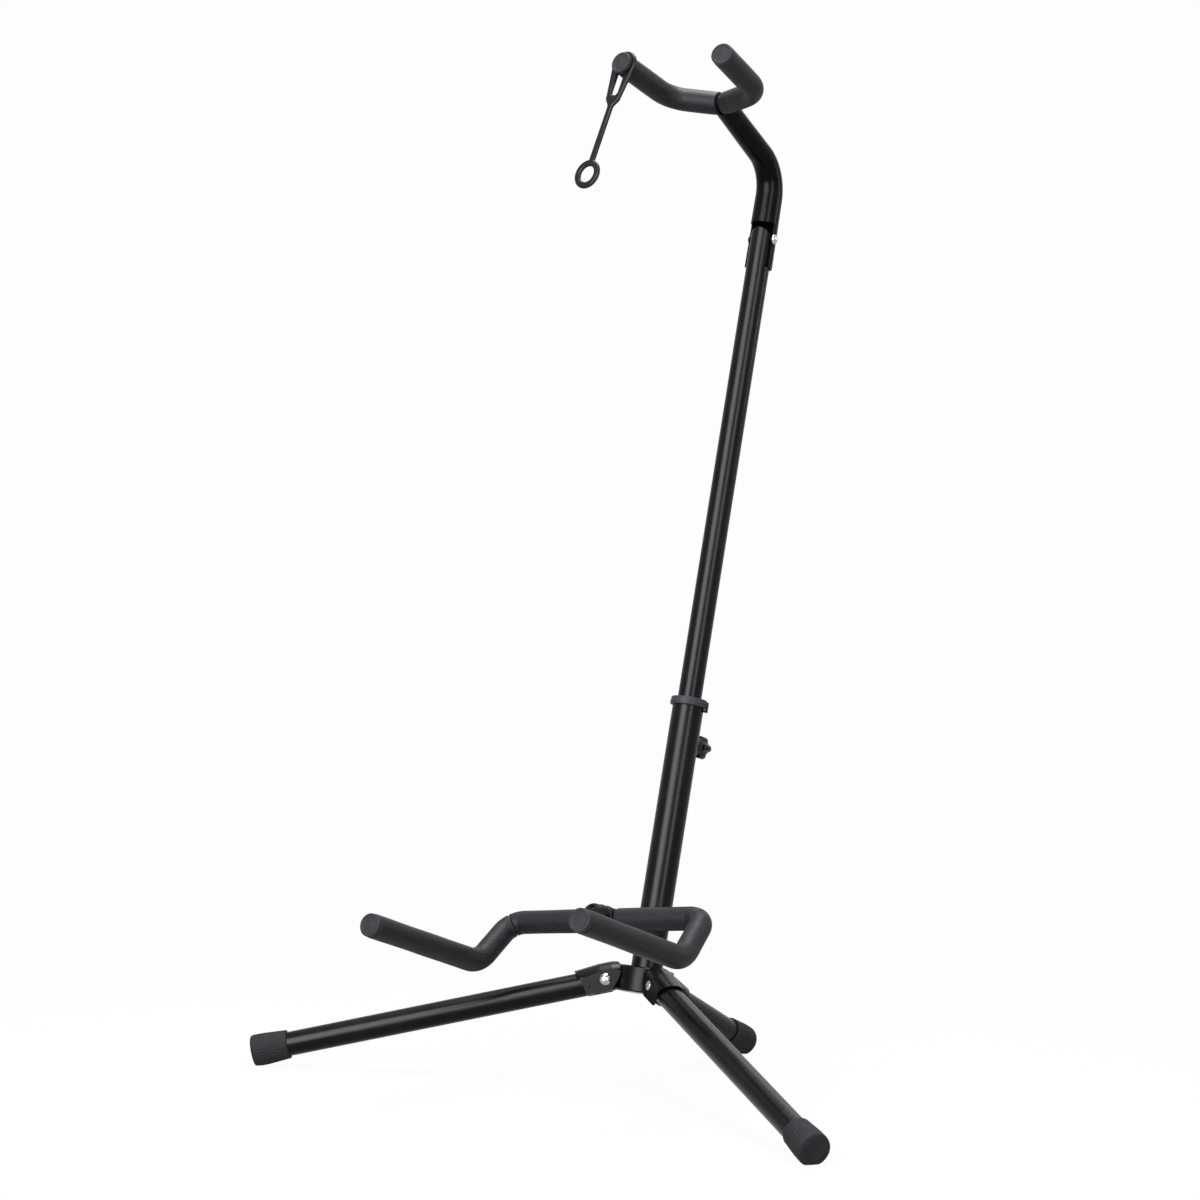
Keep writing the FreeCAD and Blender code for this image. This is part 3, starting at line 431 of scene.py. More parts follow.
def linked(name: str, data: bpy.types.ID) -> Object:
    """A new object in the scene."""
    item = bpy.data.objects.new(name, data)
    bpy.context.scene.collection.objects.link(item)
    return item


def finished(name: str, data: bpy.types.Mesh, material: Material, crease: float) -> Object:
    """Link a mesh as an object with smooth faces, sharp creases and a finish."""
    data.polygons.foreach_set("use_smooth", [True] * len(data.polygons))
    data.set_sharp_from_angle(angle=math.radians(crease))
    data.materials.append(material)
    return linked(name, data)


def circle(radius: Callable[[float], float], height: float, sides: int) -> list[Vector]:
    """A ring round the Z axis, with its radius by the angle."""
    return [
        Vector((radius(angle) * math.cos(angle), radius(angle) * math.sin(angle), height))
        for angle in around(sides)
    ]


def turned(
    name: str,
    profile: Profile,
    frame: Matrix,
    look: Look,
    sides: int = 64,
    shape: Shape = lambda angle, radius, height: radius,
) -> Object:
    """Turn a profile about the frame's Z axis.

    Args:
        name: the piece's name.
        profile: radius and height of its points, with a radius of 0 at a pole.
        frame: the frame that it is turned in.
        look: its finish.
        sides: points round the turn.
        shape: gives the real radius for an angle, a radius and a height.

    Returns:
        The new object. Without poles it is closed to itself, as a ring is.
    """
    skin = Skin(name)
    for radius, height in profile:
        if radius <= 0:
            skin.ring([Vector((0, 0, height))])
        else:
            skin.ring(circle(lambda angle: shape(angle, radius, height), height, sides))
    return skin.piece(frame, look.material, endless=profile[0][0] > 0)


def attach(item: Object, body: str, slot: Slot, *nodes: str) -> Object:
    """Let a piece ride on a body, and hide and log the nodes that it stands for."""
    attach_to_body(item, body)
    if nodes:
        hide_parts(*nodes)
    log.info("%s rides on %s for %s", item.name, body, ", ".join(nodes) or "itself")
    return item


# Bent rod line


@dataclass(frozen=True)
class Station:
    """A place on a bent rod: where it is, its heading, and the bend that it is in."""

    place: Vector
    heading: Vector
    inward: Vector
    share: float


class RodLine:
    """A steel rod's centre line: straight runs with a bend of its own radius at each corner."""

    def __init__(self, corners: Sequence[Vector], radii: Sequence[float]) -> None:
        """Measure the runs and bends between the corners."""
        self.spans: list[tuple[float, Callable[[float], Station]]] = []
        start = corners[0]
        for before, corner, after, radius in zip(corners, corners[1:], corners[2:], radii):
            inward, outward = (before - corner).normalized(), (after - corner).normalized()
            half = (math.pi - inward.angle(outward)) / 2
            first = corner + inward * radius * math.tan(half)
            last = corner + outward * radius * math.tan(half)
            centre = corner + (inward + outward).normalized() * radius / math.cos(half)
            self.run(start, first)
            self.bend(first, centre, -inward, half * 2, radius)
            start = last
        self.run(start, corners[-1])

    def run(self, start: Vector, end: Vector) -> None:
        """Add a straight run."""
        way = (end - start).normalized()
        length = (end - start).length
        self.spans.append((length, lambda along: Station(start + way * along, way, Vector(), 0.0)))

    def bend(self, start: Vector, centre: Vector, way: Vector, turn: float, radius: float) -> None:
        """Add a bend about a centre."""
        spoke = start - centre

        def at(along: float) -> Station:
            angle = along / radius
            place = centre + spoke * math.cos(angle) + way * radius * math.sin(angle)
            heading = way * math.cos(angle) - spoke.normalized() * math.sin(angle)
            return Station(place, heading, (centre - place).normalized(), angle / turn)

        self.spans.append((turn * radius, at))

    def length(self, count: int | None = None) -> float:
        """The length of the first spans, or of them all."""
        return sum(span for span, _ in self.spans[:count])

    def at(self, along: float) -> Station:
        """The station at a distance from the start."""
        for span, station in self.spans[:-1]:
            if along <= span:
                return station(along)
            along -= span
        return self.spans[-1][1](along)


@dataclass(frozen=True)
class FoamSleeve:
    """A foam sleeve pushed over a bent rod, creased where the bend squeezes it."""

    radius: float = 9.25
    bore: float = 4.05
    edge: float = 0.9
    edge_cut: float = 0.29
    step: float = 2.4
    bore_step: int = 3
    sides: int = 48
    crease_depth: float = 0.4
    crease_count: int = 5
    swell: float = 0.12
    swell_waves: tuple[Pair, ...] = ((0.11, 0.0), (0.047, 1.3))
    sharp_angle: float = 50.0

    def reach(self, station: Station, along: float, outward: Vector) -> float:
        """The sleeve's radius in one direction, with its creases and its uneven swell."""
        waves = [math.sin(along * pace + start) for pace, start in self.swell_waves]
        radius = self.radius + self.swell * (sum(waves) / len(waves) - 1)
        squeeze = max(0.0, outward.dot(station.inward))
        wave = 0.5 - 0.5 * math.cos(TURN * self.crease_count * station.share)
        return radius - self.crease_depth * squeeze**2 * wave

    def rows(self, first: float, last: float) -> list[tuple[float, float | None]]:
        """The rings' distances along the rod, and their drop under the foam or None in the bore."""
        inner, outer = first + self.edge, last - self.edge
        cut = self.edge * self.edge_cut
        count = max(2, round((outer - inner) / self.step))
        back = max(2, count // self.bore_step)
        return [
            (first, None),
            (first, -self.edge),
            (first + cut, -cut),
            *((inner + (outer - inner) * index / count, 0.0) for index in range(count + 1)),
            (last - cut, -cut),
            (last, -self.edge),
            (last, None),
            *((last + (first - last) * index / back, None) for index in range(1, back)),
        ]

    def make(self, name: str, line: RodLine, span: Pair, frame: Matrix) -> Object:
        """Build the sleeve over a span of the rod, from one distance along it to another."""
        skin = Skin(name)
        across = line.at(span[0]).heading.orthogonal().normalized()
        for along, drop in self.rows(*span):
            station = line.at(along)
            across = (across - station.heading * across.dot(station.heading)).normalized()
            up = station.heading.cross(across)
            points = []
            for angle in around(self.sides):
                outward = across * math.cos(angle) + up * math.sin(angle)
                reach = self.bore if drop is None else self.reach(station, along, outward) + drop
                points.append(station.place + outward * reach)
            skin.ring(points)
        return skin.piece(frame, Look.FOAM.material, endless=True, crease=self.sharp_angle)


# Frames


def shifted(x: float, y: float, z: float) -> Matrix:
    """A move, in millimetres."""
    return Matrix.Translation(Vector((x, y, z)) * MM)


def swung(angle: float, axis: str) -> Matrix:
    """A turn about an axis, in degrees."""
    return Matrix.Rotation(math.radians(angle), 4, axis)


def facing(place: Vector, way: Vector) -> Matrix:
    """A frame in metres whose Z looks along a direction."""
    return Matrix.Translation(place) @ way.to_track_quat("Z", "Y").to_matrix().to_4x4()


@dataclass
class StandFrames:
    """The frames of the stand's sub-assemblies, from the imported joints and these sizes."""

    joints: dict[str, dict[str, Any]]
    nodes: dict[str, Object]
    lean: float = 13.2
    rock: float = 7.2
    yoke_pitch: float = 4.4
    front_droop: float = 20.4
    rear_droop: float = 11.8
    leg_spacing: float = 120
    pivot_reach: float = 30
    pivot_drop: float = 3.8
    tube_radius: float = 12.5
    collar_height: float = 219.6
    clamp_height: float = 191
    stub_height: float = 39.1
    cradle_reach: float = 66.5
    yoke_reach: float = 88
    yoke_height: float = 693.8
    strap_rest: float = -7

    def point(self, joint: str) -> Vector:
        """Where a joint is, in metres."""
        return Vector(self.joints[joint]["pos_m"])

    @property
    def column(self) -> Matrix:
        """The hub's centre, with Z up the column and -Y forward."""
        turn = swung(-self.lean, "X")
        pivot = turn.to_3x3() @ Vector((0, self.pivot_reach, -self.pivot_drop)) * MM
        return Matrix.Translation(self.point("rear_leg_fold") - pivot) @ turn

    @property
    def head(self) -> Matrix:
        """The cradle's centre, with X along its rod."""
        place = shifted(0, -self.cradle_reach, self.stub_height)
        return self.column @ place @ swung(-self.rock, "Y")

    @property
    def yoke(self) -> Matrix:
        """The yoke's centre, with X across and -Y along its arms."""
        place = shifted(0, -self.yoke_reach, self.yoke_height)
        return self.column @ place @ swung(-self.yoke_pitch, "X")

    def leg(self, leg: Leg) -> Matrix:
        """A leg's pivot, with Z outward along the leg."""
        droop = self.front_droop if leg.value else self.rear_droop
        heading = swung(90 + leg.value * self.leg_spacing, "Z") @ swung(droop, "Y")
        turn = self.column.to_3x3().to_4x4() @ heading @ swung(90, "Y")
        return Matrix.Translation(self.point(f"{leg.word}_leg_fold")) @ turn

    def strap(self) -> Matrix:
        """The strap's loop, with Z out of the yoke's arm and -Y down the strap."""
        out = Vector(self.joints["strap_swing"]["axis"]).normalized()
        up = (Vector((0, 0, 1)) - out * out.z).normalized()
        turn = Matrix((up.cross(out), up, out)).transposed().to_4x4()
        return Matrix.Translation(self.point("strap_swing")) @ turn @ swung(self.strap_rest, "Z")

    def reach(self, node: str, frame: Matrix) -> float:
        """How far a node reaches along a frame's Z, in millimetres."""
        start, away = frame.translation, frame.to_3x3().col[2]
        vertices = self.nodes[node].data.vertices
        return max((vertex.co - start).dot(away) for vertex in vertices) / MM


# Sub-assemblies


@dataclass
class Assembly(ABC):
    """What is built together, in the stand's frames."""

    frames: StandFrames

    @abstractmethod
    def make(self) -> None:
        """Build it."""


@dataclass(frozen=True)
class EndCap:
    """A pressed-in cap over a rod's end, with a faint ring round its face."""

    radius: float = 8.8
    length: float = 3.6
    depth: float = 3.6
    socket: float = 2.0
    rod_radius: float = 4.02
    edge: float = 1.8
    back_edge: float = 0.3
    dish: float = 0.4
    ring_share: float = 0.8
    dish_share: float = 0.76
    middle_share: float = 0.45

    def groove_corners(self) -> list[Triple]:
        """The corners between the cap's back and its rim."""
        return []

    def make(self, name: str, frame: Matrix) -> Object:
        """Build the cap with its face at the frame's origin."""
        bottom = self.socket - self.length
        corners = [
            (0, bottom, 0),
            (self.rod_radius, bottom, 0.1),
            (self.rod_radius, -self.depth, 0.1),
            (self.radius, -self.depth, self.back_edge),
            *self.groove_corners(),
            (self.radius, 0, self.edge),
            (self.radius * self.ring_share, 0, 0.3),
            (self.radius * self.dish_share, -self.dish, 0.3),
            (self.radius * self.middle_share, -self.dish, 1.0),
            (0, 0, 0),
        ]
        return turned(name, eased(corners, 4), frame, Look.CAP)


@dataclass(frozen=True)
class StrapPost(EndCap):
    """The cap with the groove in which the strap hangs."""

    depth: float = 9.0
    back_edge: float = 0.4
    groove: float = 3.9
    post_radius: float = 7.0

    def groove_corners(self) -> list[Triple]:
        """The groove, from its back to its front."""
        back = -(self.length + self.groove)
        return [
            (self.radius, back, 0.4),
            (self.post_radius, back, 0.5),
            (self.post_radius, -self.length, 0.5),
            (self.radius, -self.length, 0.4),
        ]


@dataclass
class PaddedRod(Assembly):
    """A bent rod, the same on both sides, with foam sleeves and a cap on each tip."""

    stem: str = ""
    body: str = ""
    radii: Pair = (14, 26)
    foam_fit: float = 0.02
    cap: EndCap = EndCap()
    sleeve: FoamSleeve = FoamSleeve()

    @property
    @abstractmethod
    def frame(self) -> Matrix:
        """The rod's centre."""

    @property
    @abstractmethod
    def path(self) -> list[Triple]:
        """The corners of the rod's right half, from where its foam starts to the tip."""

    def corners(self, side: Side) -> list[Vector]:
        """The rod's corners on one side."""
        return [Vector((side.value * x, y, z)) for x, y, z in self.path]

    def line(self, side: Side) -> RodLine:
        """The rod's centre line on one side."""
        return RodLine(self.corners(side), self.radii)

    def put_sleeve(self, stem: str, side: Side, span: Pair) -> None:
        """Build one sleeve, between two distances along the rod."""
        line, frame = self.line(side), self.frame
        sleeve = self.sleeve.make(f"{stem}_sleeve_{side.word}", line, span, frame)
        attach(sleeve, self.body, Slot.FOAM, f"{stem}_foam_{side.word}")

    def put_cap(self, side: Side, cap: EndCap) -> None:
        """Build the cap on one side's tip."""
        before, tip = self.corners(side)[-2:]
        frame = self.frame @ facing(tip * MM, tip - before)
        made = cap.make(f"{self.stem}_tip_{side.word}", frame)
        attach(made, self.body, Slot.PLASTIC, f"{self.stem}_cap_{side.word}")


@dataclass
class Cradle(PaddedRod):
    """The padded cradle that holds the guitar's body."""

    stem: str = "cradle"
    body: str = "cradle"
    half_width: float = 88.8
    spread: float = 4.2
    dip_reach: float = 35.3
    dip: float = 35
    arm_reach: float = 137.2
    arm_rise: float = 11
    head_side: float = 11.7
    seam_gap: float = 0.08

    @property
    def frame(self) -> Matrix:
        """The cradle's centre."""
        return self.frames.head

    @property
    def path(self) -> list[Triple]:
        """Out from the head, down and forward, and along the arm."""
        across = self.half_width + self.spread
        return [
            (self.head_side, 0, 0),
            (self.half_width, 0, 0),
            (across, -self.dip_reach, -self.dip),
            (across, -self.dip_reach - self.arm_reach, self.arm_rise - self.dip),
        ]

    def make(self) -> None:
        """Build two sleeves and a cap on each side."""
        for side in Side:
            line = self.line(side)
            seam = line.length(1) + line.spans[1][0] / 2
            end = line.length() - self.cap.depth - self.foam_fit
            self.put_sleeve("cradle_bar", side, (0.0, seam - self.seam_gap))
            self.put_sleeve("cradle_arm", side, (seam + self.seam_gap, end))
            self.put_cap(side, self.cap)


@dataclass
class Yoke(PaddedRod):
    """The padded yoke that holds the guitar's neck, with its strap post."""

    stem: str = "yoke"
    body: str = "neck"
    radii: Pair = (14, 24)
    seat_half_width: float = 5
    half_width: float = 41.5
    sweep: float = 15.2
    tip_half_width: float = 47
    arm_length: float = 80.4
    foam_gap: float = 2
    post: StrapPost = StrapPost()
    sleeve: FoamSleeve = FoamSleeve(crease_depth=0.3, crease_count=4)

    @property
    def frame(self) -> Matrix:
        """The yoke's centre."""
        return self.frames.yoke

    @property
    def path(self) -> list[Triple]:
        """Out along the seat and forward along the arm."""
        return [
            (self.foam_gap, 0, 0),
            (self.seat_half_width, 0, 0),
            (self.half_width, -self.sweep, 0),
            (self.tip_half_width, -self.arm_length, 0),
        ]

    def make(self) -> None:
        """Build a sleeve on each side, the strap post and the plain cap."""
        for side, cap in ((Side.LEFT, self.post), (Side.RIGHT, self.cap)):
            end = self.line(side).length() - cap.depth - self.foam_fit
            self.put_sleeve(self.stem, side, (0.0, end))
            self.put_cap(side, cap)


@dataclass
class NeckStrap(Assembly):
    """The rubber strap that closes the yoke: loop, two strands, one strand and a ring."""

    thickness: float = 3.2
    rounding: float = 1.5
    rounding_steps: int = 4
    loop_radius: float = 11.6
    loop_bore: float = 7.4
    half_width: float = 7.2
    slot_half_width: float = 3.2
    slot_length: float = 26
    bridge: float = 3.2
    shoulder: float = 6.5
    flare: float = 0.5
    inset: float = 0.7
    strand: float = 2.6
    length: float = 93
    ring_radius: float = 12.1
    ring_bore: float = 6.8
    taper: float = 9.5
    loop_steps: int = 40
    ring_steps: int = 56
    slot_steps: int = 16
    bore_steps: int = 48
    sharp_angle: float = 60

    def arc(self, centre: float, radius: float, first: float, last: float, count: int) -> Profile:
        """Points of an arc about a place on the strap's middle line."""
        points = []
        for index in range(count + 1):
            angle = math.radians(first + (last - first) * index / count)
            points.append((radius * math.cos(angle), centre + radius * math.sin(angle)))
        return points

    def outside(self) -> Profile:
        """The strap's outline, counter-clockwise from the right of its loop."""
        flank = math.degrees(math.asin(self.strand / self.ring_radius))
        slope = math.radians(self.taper)
        side, tangent = math.cos(slope) * self.loop_radius, -math.sin(slope) * self.loop_radius
        waist = tangent - (side - self.half_width) / math.tan(slope)
        top = -self.slot_length - self.bridge
        right = [
            (self.strand, top - 1.1 * self.shoulder),
            (self.strand + self.flare, top - 0.85 * self.shoulder),
            (self.half_width - self.inset, top - 0.2 * self.shoulder),
            (self.half_width, top + 0.1 * self.shoulder),
            (self.half_width, waist),
        ]
        left = [(-across, height) for across, height in reversed(right)]
        loop = self.arc(0, self.loop_radius, -self.taper, 180 + self.taper, self.loop_steps)
        ring = self.arc(-self.length, self.ring_radius, 90 + flank, 450 - flank, self.ring_steps)
        return loop + left + ring + right

    def keyhole(self) -> Profile:
        """The loop's hole and the slot that runs from it."""
        mouth = math.degrees(math.asin(self.slot_half_width / self.loop_bore))
        loop = self.arc(0, self.loop_bore, -90 + mouth, 270 - mouth, self.loop_steps)
        end = self.slot_half_width - self.slot_length
        return loop + self.arc(end, self.slot_half_width, 180, 360, self.slot_steps)

    def ring_hole(self) -> Profile:
        """The hole of the ring."""
        last = 360 - 360 / self.bore_steps
        return self.arc(-self.length, self.ring_bore, 0, last, self.bore_steps - 1)

    def make(self) -> None:
        """Build the strap with rounded edges."""
        curve = bpy.data.curves.new("strap_outline", "CURVE")
        curve.dimensions = "2D"
        curve.fill_mode = "BOTH"
        curve.bevel_depth = self.rounding * MM
        curve.bevel_resolution = self.rounding_steps
        curve.offset = -self.rounding * MM
        curve.extrude = (self.thickness / 2 - self.rounding) * MM
        for loop in (self.outside(), self.keyhole(), self.ring_hole()):
            spline = curve.splines.new("POLY")
            spline.points.add(len(loop) - 1)
            for point, (across, height) in zip(spline.points, loop):
                point.co = (across * MM, height * MM, 0, 1)
            spline.use_cyclic_u = True
        drawn = bpy.data.objects.new("strap_outline", curve)
        data = bpy.data.meshes.new_from_object(drawn)
        bpy.data.objects.remove(drawn)
        bpy.data.curves.remove(curve)
        data.transform(self.frames.strap())
        strap = finished("neck_strap_rubber", data, Look.STRAP.material, self.sharp_angle)
        attach(strap, "strap", Slot.STRAP, "neck_strap")


@dataclass
class LegBoots(Assembly):
    """The ribbed rubber boots on the legs, cut flat where they stand."""

    rim_radius: float = 11.2
    rim_swell: float = 0.15
    end_radius: float = 12.5
    length: float = 29
    end_wall: float = 4
    bore: float = 9.52
    wall: float = 0.5
    corner: float = 4.2
    dish: float = 0.4
    sides: int = 180
    row_gap: float = 1.6
    rib_count: int = 30
    rib_depth: float = 0.28
    rib_power: int = 3
    rib_span: Pair = (0.1, 0.93)
    rib_fades: Pair = (0.06, 0.08)

    def ribbed(self, end: float) -> Shape:
        """The boot's radius with its lengthwise ribs, which fade out at both ends."""
        (low, high), (fade_in, fade_out) = self.rib_span, self.rib_fades

        def shape(angle: float, radius: float, height: float) -> float:
            along = (height - end + self.length) / self.length
            if radius <= self.bore + self.wall or not low < along < high:
                return radius
            fade = min(1.0, (along - low) / fade_in, (high - along) / fade_out)
            valley = (0.5 + 0.5 * math.cos(self.rib_count * angle)) ** self.rib_power
            return radius - self.rib_depth * fade * valley

        return shape

    def make(self) -> None:
        """Build the three boots."""
        for leg in Leg:
            frame = self.frames.leg(leg)
            end = self.frames.reach(f"{leg.word}_foot", frame)
            corners = [
                (0, end - self.end_wall, 0),
                (self.bore, end - self.end_wall, 0.1),
                (self.bore, end - self.length, 0.1),
                (self.rim_radius, end - self.length, 0.7),
                (self.rim_radius + self.rim_swell, end - self.length * 0.9, 0.5),
                (self.end_radius, end - self.length * 0.35, 4),
                (self.end_radius, end, self.corner),
                (self.end_radius * 0.55, end, 1),
                (self.end_radius * 0.5, end - self.dish, 0.6),
                (0, end - self.dish, 0),
            ]
            name, profile = f"{leg.word}_boot", self.denser(eased(corners, 6))
            boot = turned(name, profile, frame, Look.BOOT, self.sides, self.ribbed(end))
            for vertex in boot.data.vertices:
                vertex.co.z = max(vertex.co.z, 0.0)
            attach(boot, f"{leg.word}_leg", Slot.FOOT, f"{leg.word}_foot")

    def denser(self, profile: Profile) -> Profile:
        """Add points on the long runs, so that the ribs can fade."""
        points = [profile[0]]
        for (radius, height), (next_radius, next_height) in zip(profile, profile[1:]):
            widen, rise = next_radius - radius, next_height - height
            count = max(1, math.ceil(abs(rise) / self.row_gap))
            shares = [step / count for step in range(1, count + 1)]
            points += [(radius + widen * share, height + rise * share) for share in shares]
        return points


@dataclass
class Collar(Assembly):
    """The column's moulded collar and the small tab that hangs from it."""

    bore: float = 9.55
    radius: float = 14.75
    height: float = 6.5
    waist: float = 0.35
    spigot: float = 20
    spigot_radius: float = 10.98
    lead: float = 0.9
    foot_lead: float = 0.5
    sides: int = 96
    tab_half_width: float = 2.6
    tab_half_height: float = 4.2
    tab_depth: float = 3.4
    tab_drop: float = 1.2
    tab_angle: float = 28
    tab_gap: float = 0.1
    tab_power: int = 5

    def make(self) -> None:
        """Build the bush with its rounded rim, and the tab."""
        seat = self.frames.collar_height
        top = seat + self.height
        corners = [
            (self.bore, seat - self.spigot, 0),
            (self.spigot_radius, seat - self.spigot, 0.3),
            (self.spigot_radius, seat, 0.1),
            (self.radius, seat, 1.0),
            (self.radius, seat + self.height * 0.55, 0.5),
            (self.radius - self.waist, seat + self.height * 0.62, 0.4),
            (self.radius - self.waist, top, 1.2),
            (self.bore + self.lead, top, 0.4),
            (self.bore, top - self.lead, 0.4),
            (self.bore, seat - self.spigot + self.foot_lead, 0),
        ]
        column = self.frames.column
        collar = turned("collar_ring", eased(corners), column, Look.COLLAR, self.sides)
        attach(collar, "base", Slot.PLASTIC, "collar_bush")
        self.make_tab()

    def squared(self, angle: float, radius: float, height: float) -> float:
        """The tab's radius as a rounded oblong."""
        across = abs(math.cos(angle)) / self.tab_half_width
        along = abs(math.sin(angle)) / self.tab_half_height
        return radius * (across**self.tab_power + along**self.tab_power) ** (-1 / self.tab_power)

    def make_tab(self) -> None:
        """Build the tab beside the knob, of unit radius before it is squared."""
        seat = self.frames.tube_radius + self.tab_gap
        face = seat + self.tab_depth
        corners = [(0, seat, 0), (1, seat, 0.1), (1, face, 0.35), (0, face, 0)]
        place = shifted(0, 0, self.frames.collar_height + self.tab_drop)
        frame = self.frames.column @ place @ swung(self.tab_angle + 90, "Z") @ swung(90, "X")
        tab = turned("collar_tab", eased(corners), frame, Look.KNOB, shape=self.squared)
        attach(tab, "base", Slot.PLASTIC)


@dataclass
class ClampKnob(Assembly):
    """The star knob on the clamp screw."""

    start: float = 20
    height: float = 10
    radius: float = 7
    lobe_radius: float = 3
    lobe_circle: float = 6.4
    lobe_count: int = 5
    lobe_share: float = 0.94
    socket: float = 3.05
    wall: float = 0.6
    end_wall: float = 3
    dish: float = 0.8
    sides: int = 120

    def lobed(self, angle: float, radius: float, height: float) -> float:
        """The knob's radius with its five finger lobes."""
        if radius <= self.socket + self.wall:
            return radius
        turn = TURN / self.lobe_count
        offset = (angle + turn / 2) % turn - turn / 2
        sway = self.lobe_circle * math.sin(offset)
        lobe = self.radius
        if abs(sway) < self.lobe_radius:
            rise = math.sqrt(self.lobe_radius**2 - sway**2)
            lobe = max(lobe, self.lobe_circle * math.cos(offset) + rise)
        soft = self.radius + (lobe - self.radius) * self.lobe_share
        share = min(1.0, radius / self.radius)
        return radius * (1 - share**4) + soft * share**6

    def make(self) -> None:
        """Build the knob."""
        top = self.start + self.height
        corners = [
            (0, top - self.end_wall, 0),
            (self.socket, top - self.end_wall, 0.1),
            (self.socket, self.start, 0.2),
            (self.radius, self.start, 0.9),
            (self.radius, top, 1.3),
            (self.radius * 0.62, top, 0.4),
            (self.radius * 0.52, top - self.dish, 0.4),
            (0, top - self.dish, 0),
        ]
        frame = self.frames.column @ shifted(0, 0, self.frames.clamp_height) @ swung(-90, "X")
        knob = turned("clamp_star", eased(corners), frame, Look.KNOB, self.sides, self.lobed)
        attach(knob, "clamp_knob", Slot.PLASTIC, "clamp_knob")


@dataclass
class WeldBeads(Assembly):
    """The rippled weld beads where the clamp's boss and the cradle's stub meet the column."""

    boss_radius: float = 8
    stub_radius: float = 9.5
    bead: float = 1.3
    sink: float = 0.15
    ripple: float = 0.12
    ripple_count: int = 22
    steps: int = 96
    sides: int = 12
    sharp_angle: float = 80

    def make(self) -> None:
        """Build the two beads."""
        behind = shifted(0, 0, self.frames.clamp_height) @ swung(180, "Z")
        self.make_bead("clamp_weld", self.boss_radius, behind)
        self.make_bead("stub_weld", self.stub_radius, shifted(0, 0, self.frames.stub_height))

    def make_bead(self, name: str, radius: float, place: Matrix) -> None:
        """Build the bead where a round boss meets the tube, on the -Y side of a place."""
        skin = Skin(name)
        for angle in around(self.steps):
            ripple = 1 - self.ripple + self.ripple * math.cos(angle * self.ripple_count)
            across = Vector((math.cos(angle), 0, math.sin(angle)))
            foot = across * (radius - self.sink)
            depth = math.sqrt(self.frames.tube_radius**2 - foot.x**2) - self.sink
            middle = Vector((foot.x, -depth, foot.z))
            ring = []
            for turn in around(self.sides):
                spoke = across * math.cos(turn) - Vector((0, 1, 0)) * math.sin(turn)
                ring.append(middle + spoke * (self.bead * ripple))
            skin.ring(ring)
        frame, cast = self.frames.column @ place, Look.CAST.material
        bead = skin.piece(frame, cast, endless=True, crease=self.sharp_angle)
        attach(bead, "base", Slot.PAINT)


@dataclass
class SmallParts(Assembly):
    """The roll pins, whose bores are closed by dark walls as painted shade, and the rings round the
    cradle's head.
    """

    pin_radius: float = 1.75
    pin_bore: float = 1.1
    pin_reach: float = 11.5
    pin_web: float = 9.6
    pin_place: float = 13
    pin_drop: float = 3.5
    pin_sides: int = 32
    ring_radius: float = 10.9
    ring_wire: float = 0.4
    ring_sides: int = 12
    ring_places: Pair = (9.5, 1.6)

    def make(self) -> None:
        """Build the pins and the rings."""
        # Painted shade: the pin's bore is closed near each end by a wall of the same dark paint,
        # standing for the shaded inside of the bore
        half = [
            (self.pin_radius, self.pin_reach),
            (self.pin_bore, self.pin_reach),
            (self.pin_bore, self.pin_web),
            (0, self.pin_web),
        ]
        profile = [(radius, -height) for radius, height in reversed(half)] + half
        place = shifted(self.pin_place, 0, -self.pin_drop) @ swung(90, "X")
        for leg in Leg:
            frame = self.frames.leg(leg) @ swung(-90, "Y") @ place
            pin = turned(f"{leg.word}_spring_pin", profile, frame, Look.ROD, self.pin_sides)
            attach(pin, f"{leg.word}_leg", Slot.PAINT, f"{leg.word}_roll_pin")
        wire = [
            (self.ring_radius + self.ring_wire * math.cos(angle), self.ring_wire * math.sin(angle))
            for angle in around(self.ring_sides)
        ]
        for number, place in enumerate(self.ring_places, start=1):
            frame = self.frames.head @ shifted(0, -place, 0) @ swung(90, "X")
            ring = turned(f"head_ring_{number}", wire, frame, Look.CAP)
            attach(ring, "cradle_head", Slot.PLASTIC)


@dataclass
class SteelParts(Assembly):
    """The parts whose solids are shown as they are, by their finish."""

    shank_reach: float = 11.6

    def look(self, name: str) -> Look:
        """The look of a node."""
        named = {
            Look.PLATED: ("head_screws",),
            Look.ROD: ("head_stop_pin", "clamp_screw", "cradle_rod", "yoke_rod"),
            Look.CAST: ("hub_casting", "clamp_nut", "neck_plug"),
            Look.NECK: ("gooseneck",),
            Look.HEAD: ("head_base", "head_cap"),
            Look.KNOB: ("column_plug", "mast_guide_bush"),
        }
        usual = Look.PLATED if "rivet" in name else Look.PAINT
        return next((look for look, names in named.items() if name in names), usual)

    def make(self) -> None:
        """Give each shown node its finish, and give the shank of the yoke's rivet dark rod paint as
        painted shade.
        """
        for name, node in self.frames.nodes.items():
            if node.hide_render:
                continue
            look, materials = self.look(name), node.data.materials
            materials.clear()
            materials.append(look.material)
            # Painted shade: the rivet's shank, in the shaded gap between the neck's skirt and the
            # mast, gets the dark rod paint
            if name == "yoke_fold_rivet":
                materials.append(Look.ROD.material)
                for face in node.data.polygons:
                    face.material_index = int(abs(face.center.x) < self.shank_reach * MM)
            log.info("%s has %s", name, look.value.name)


# Studio


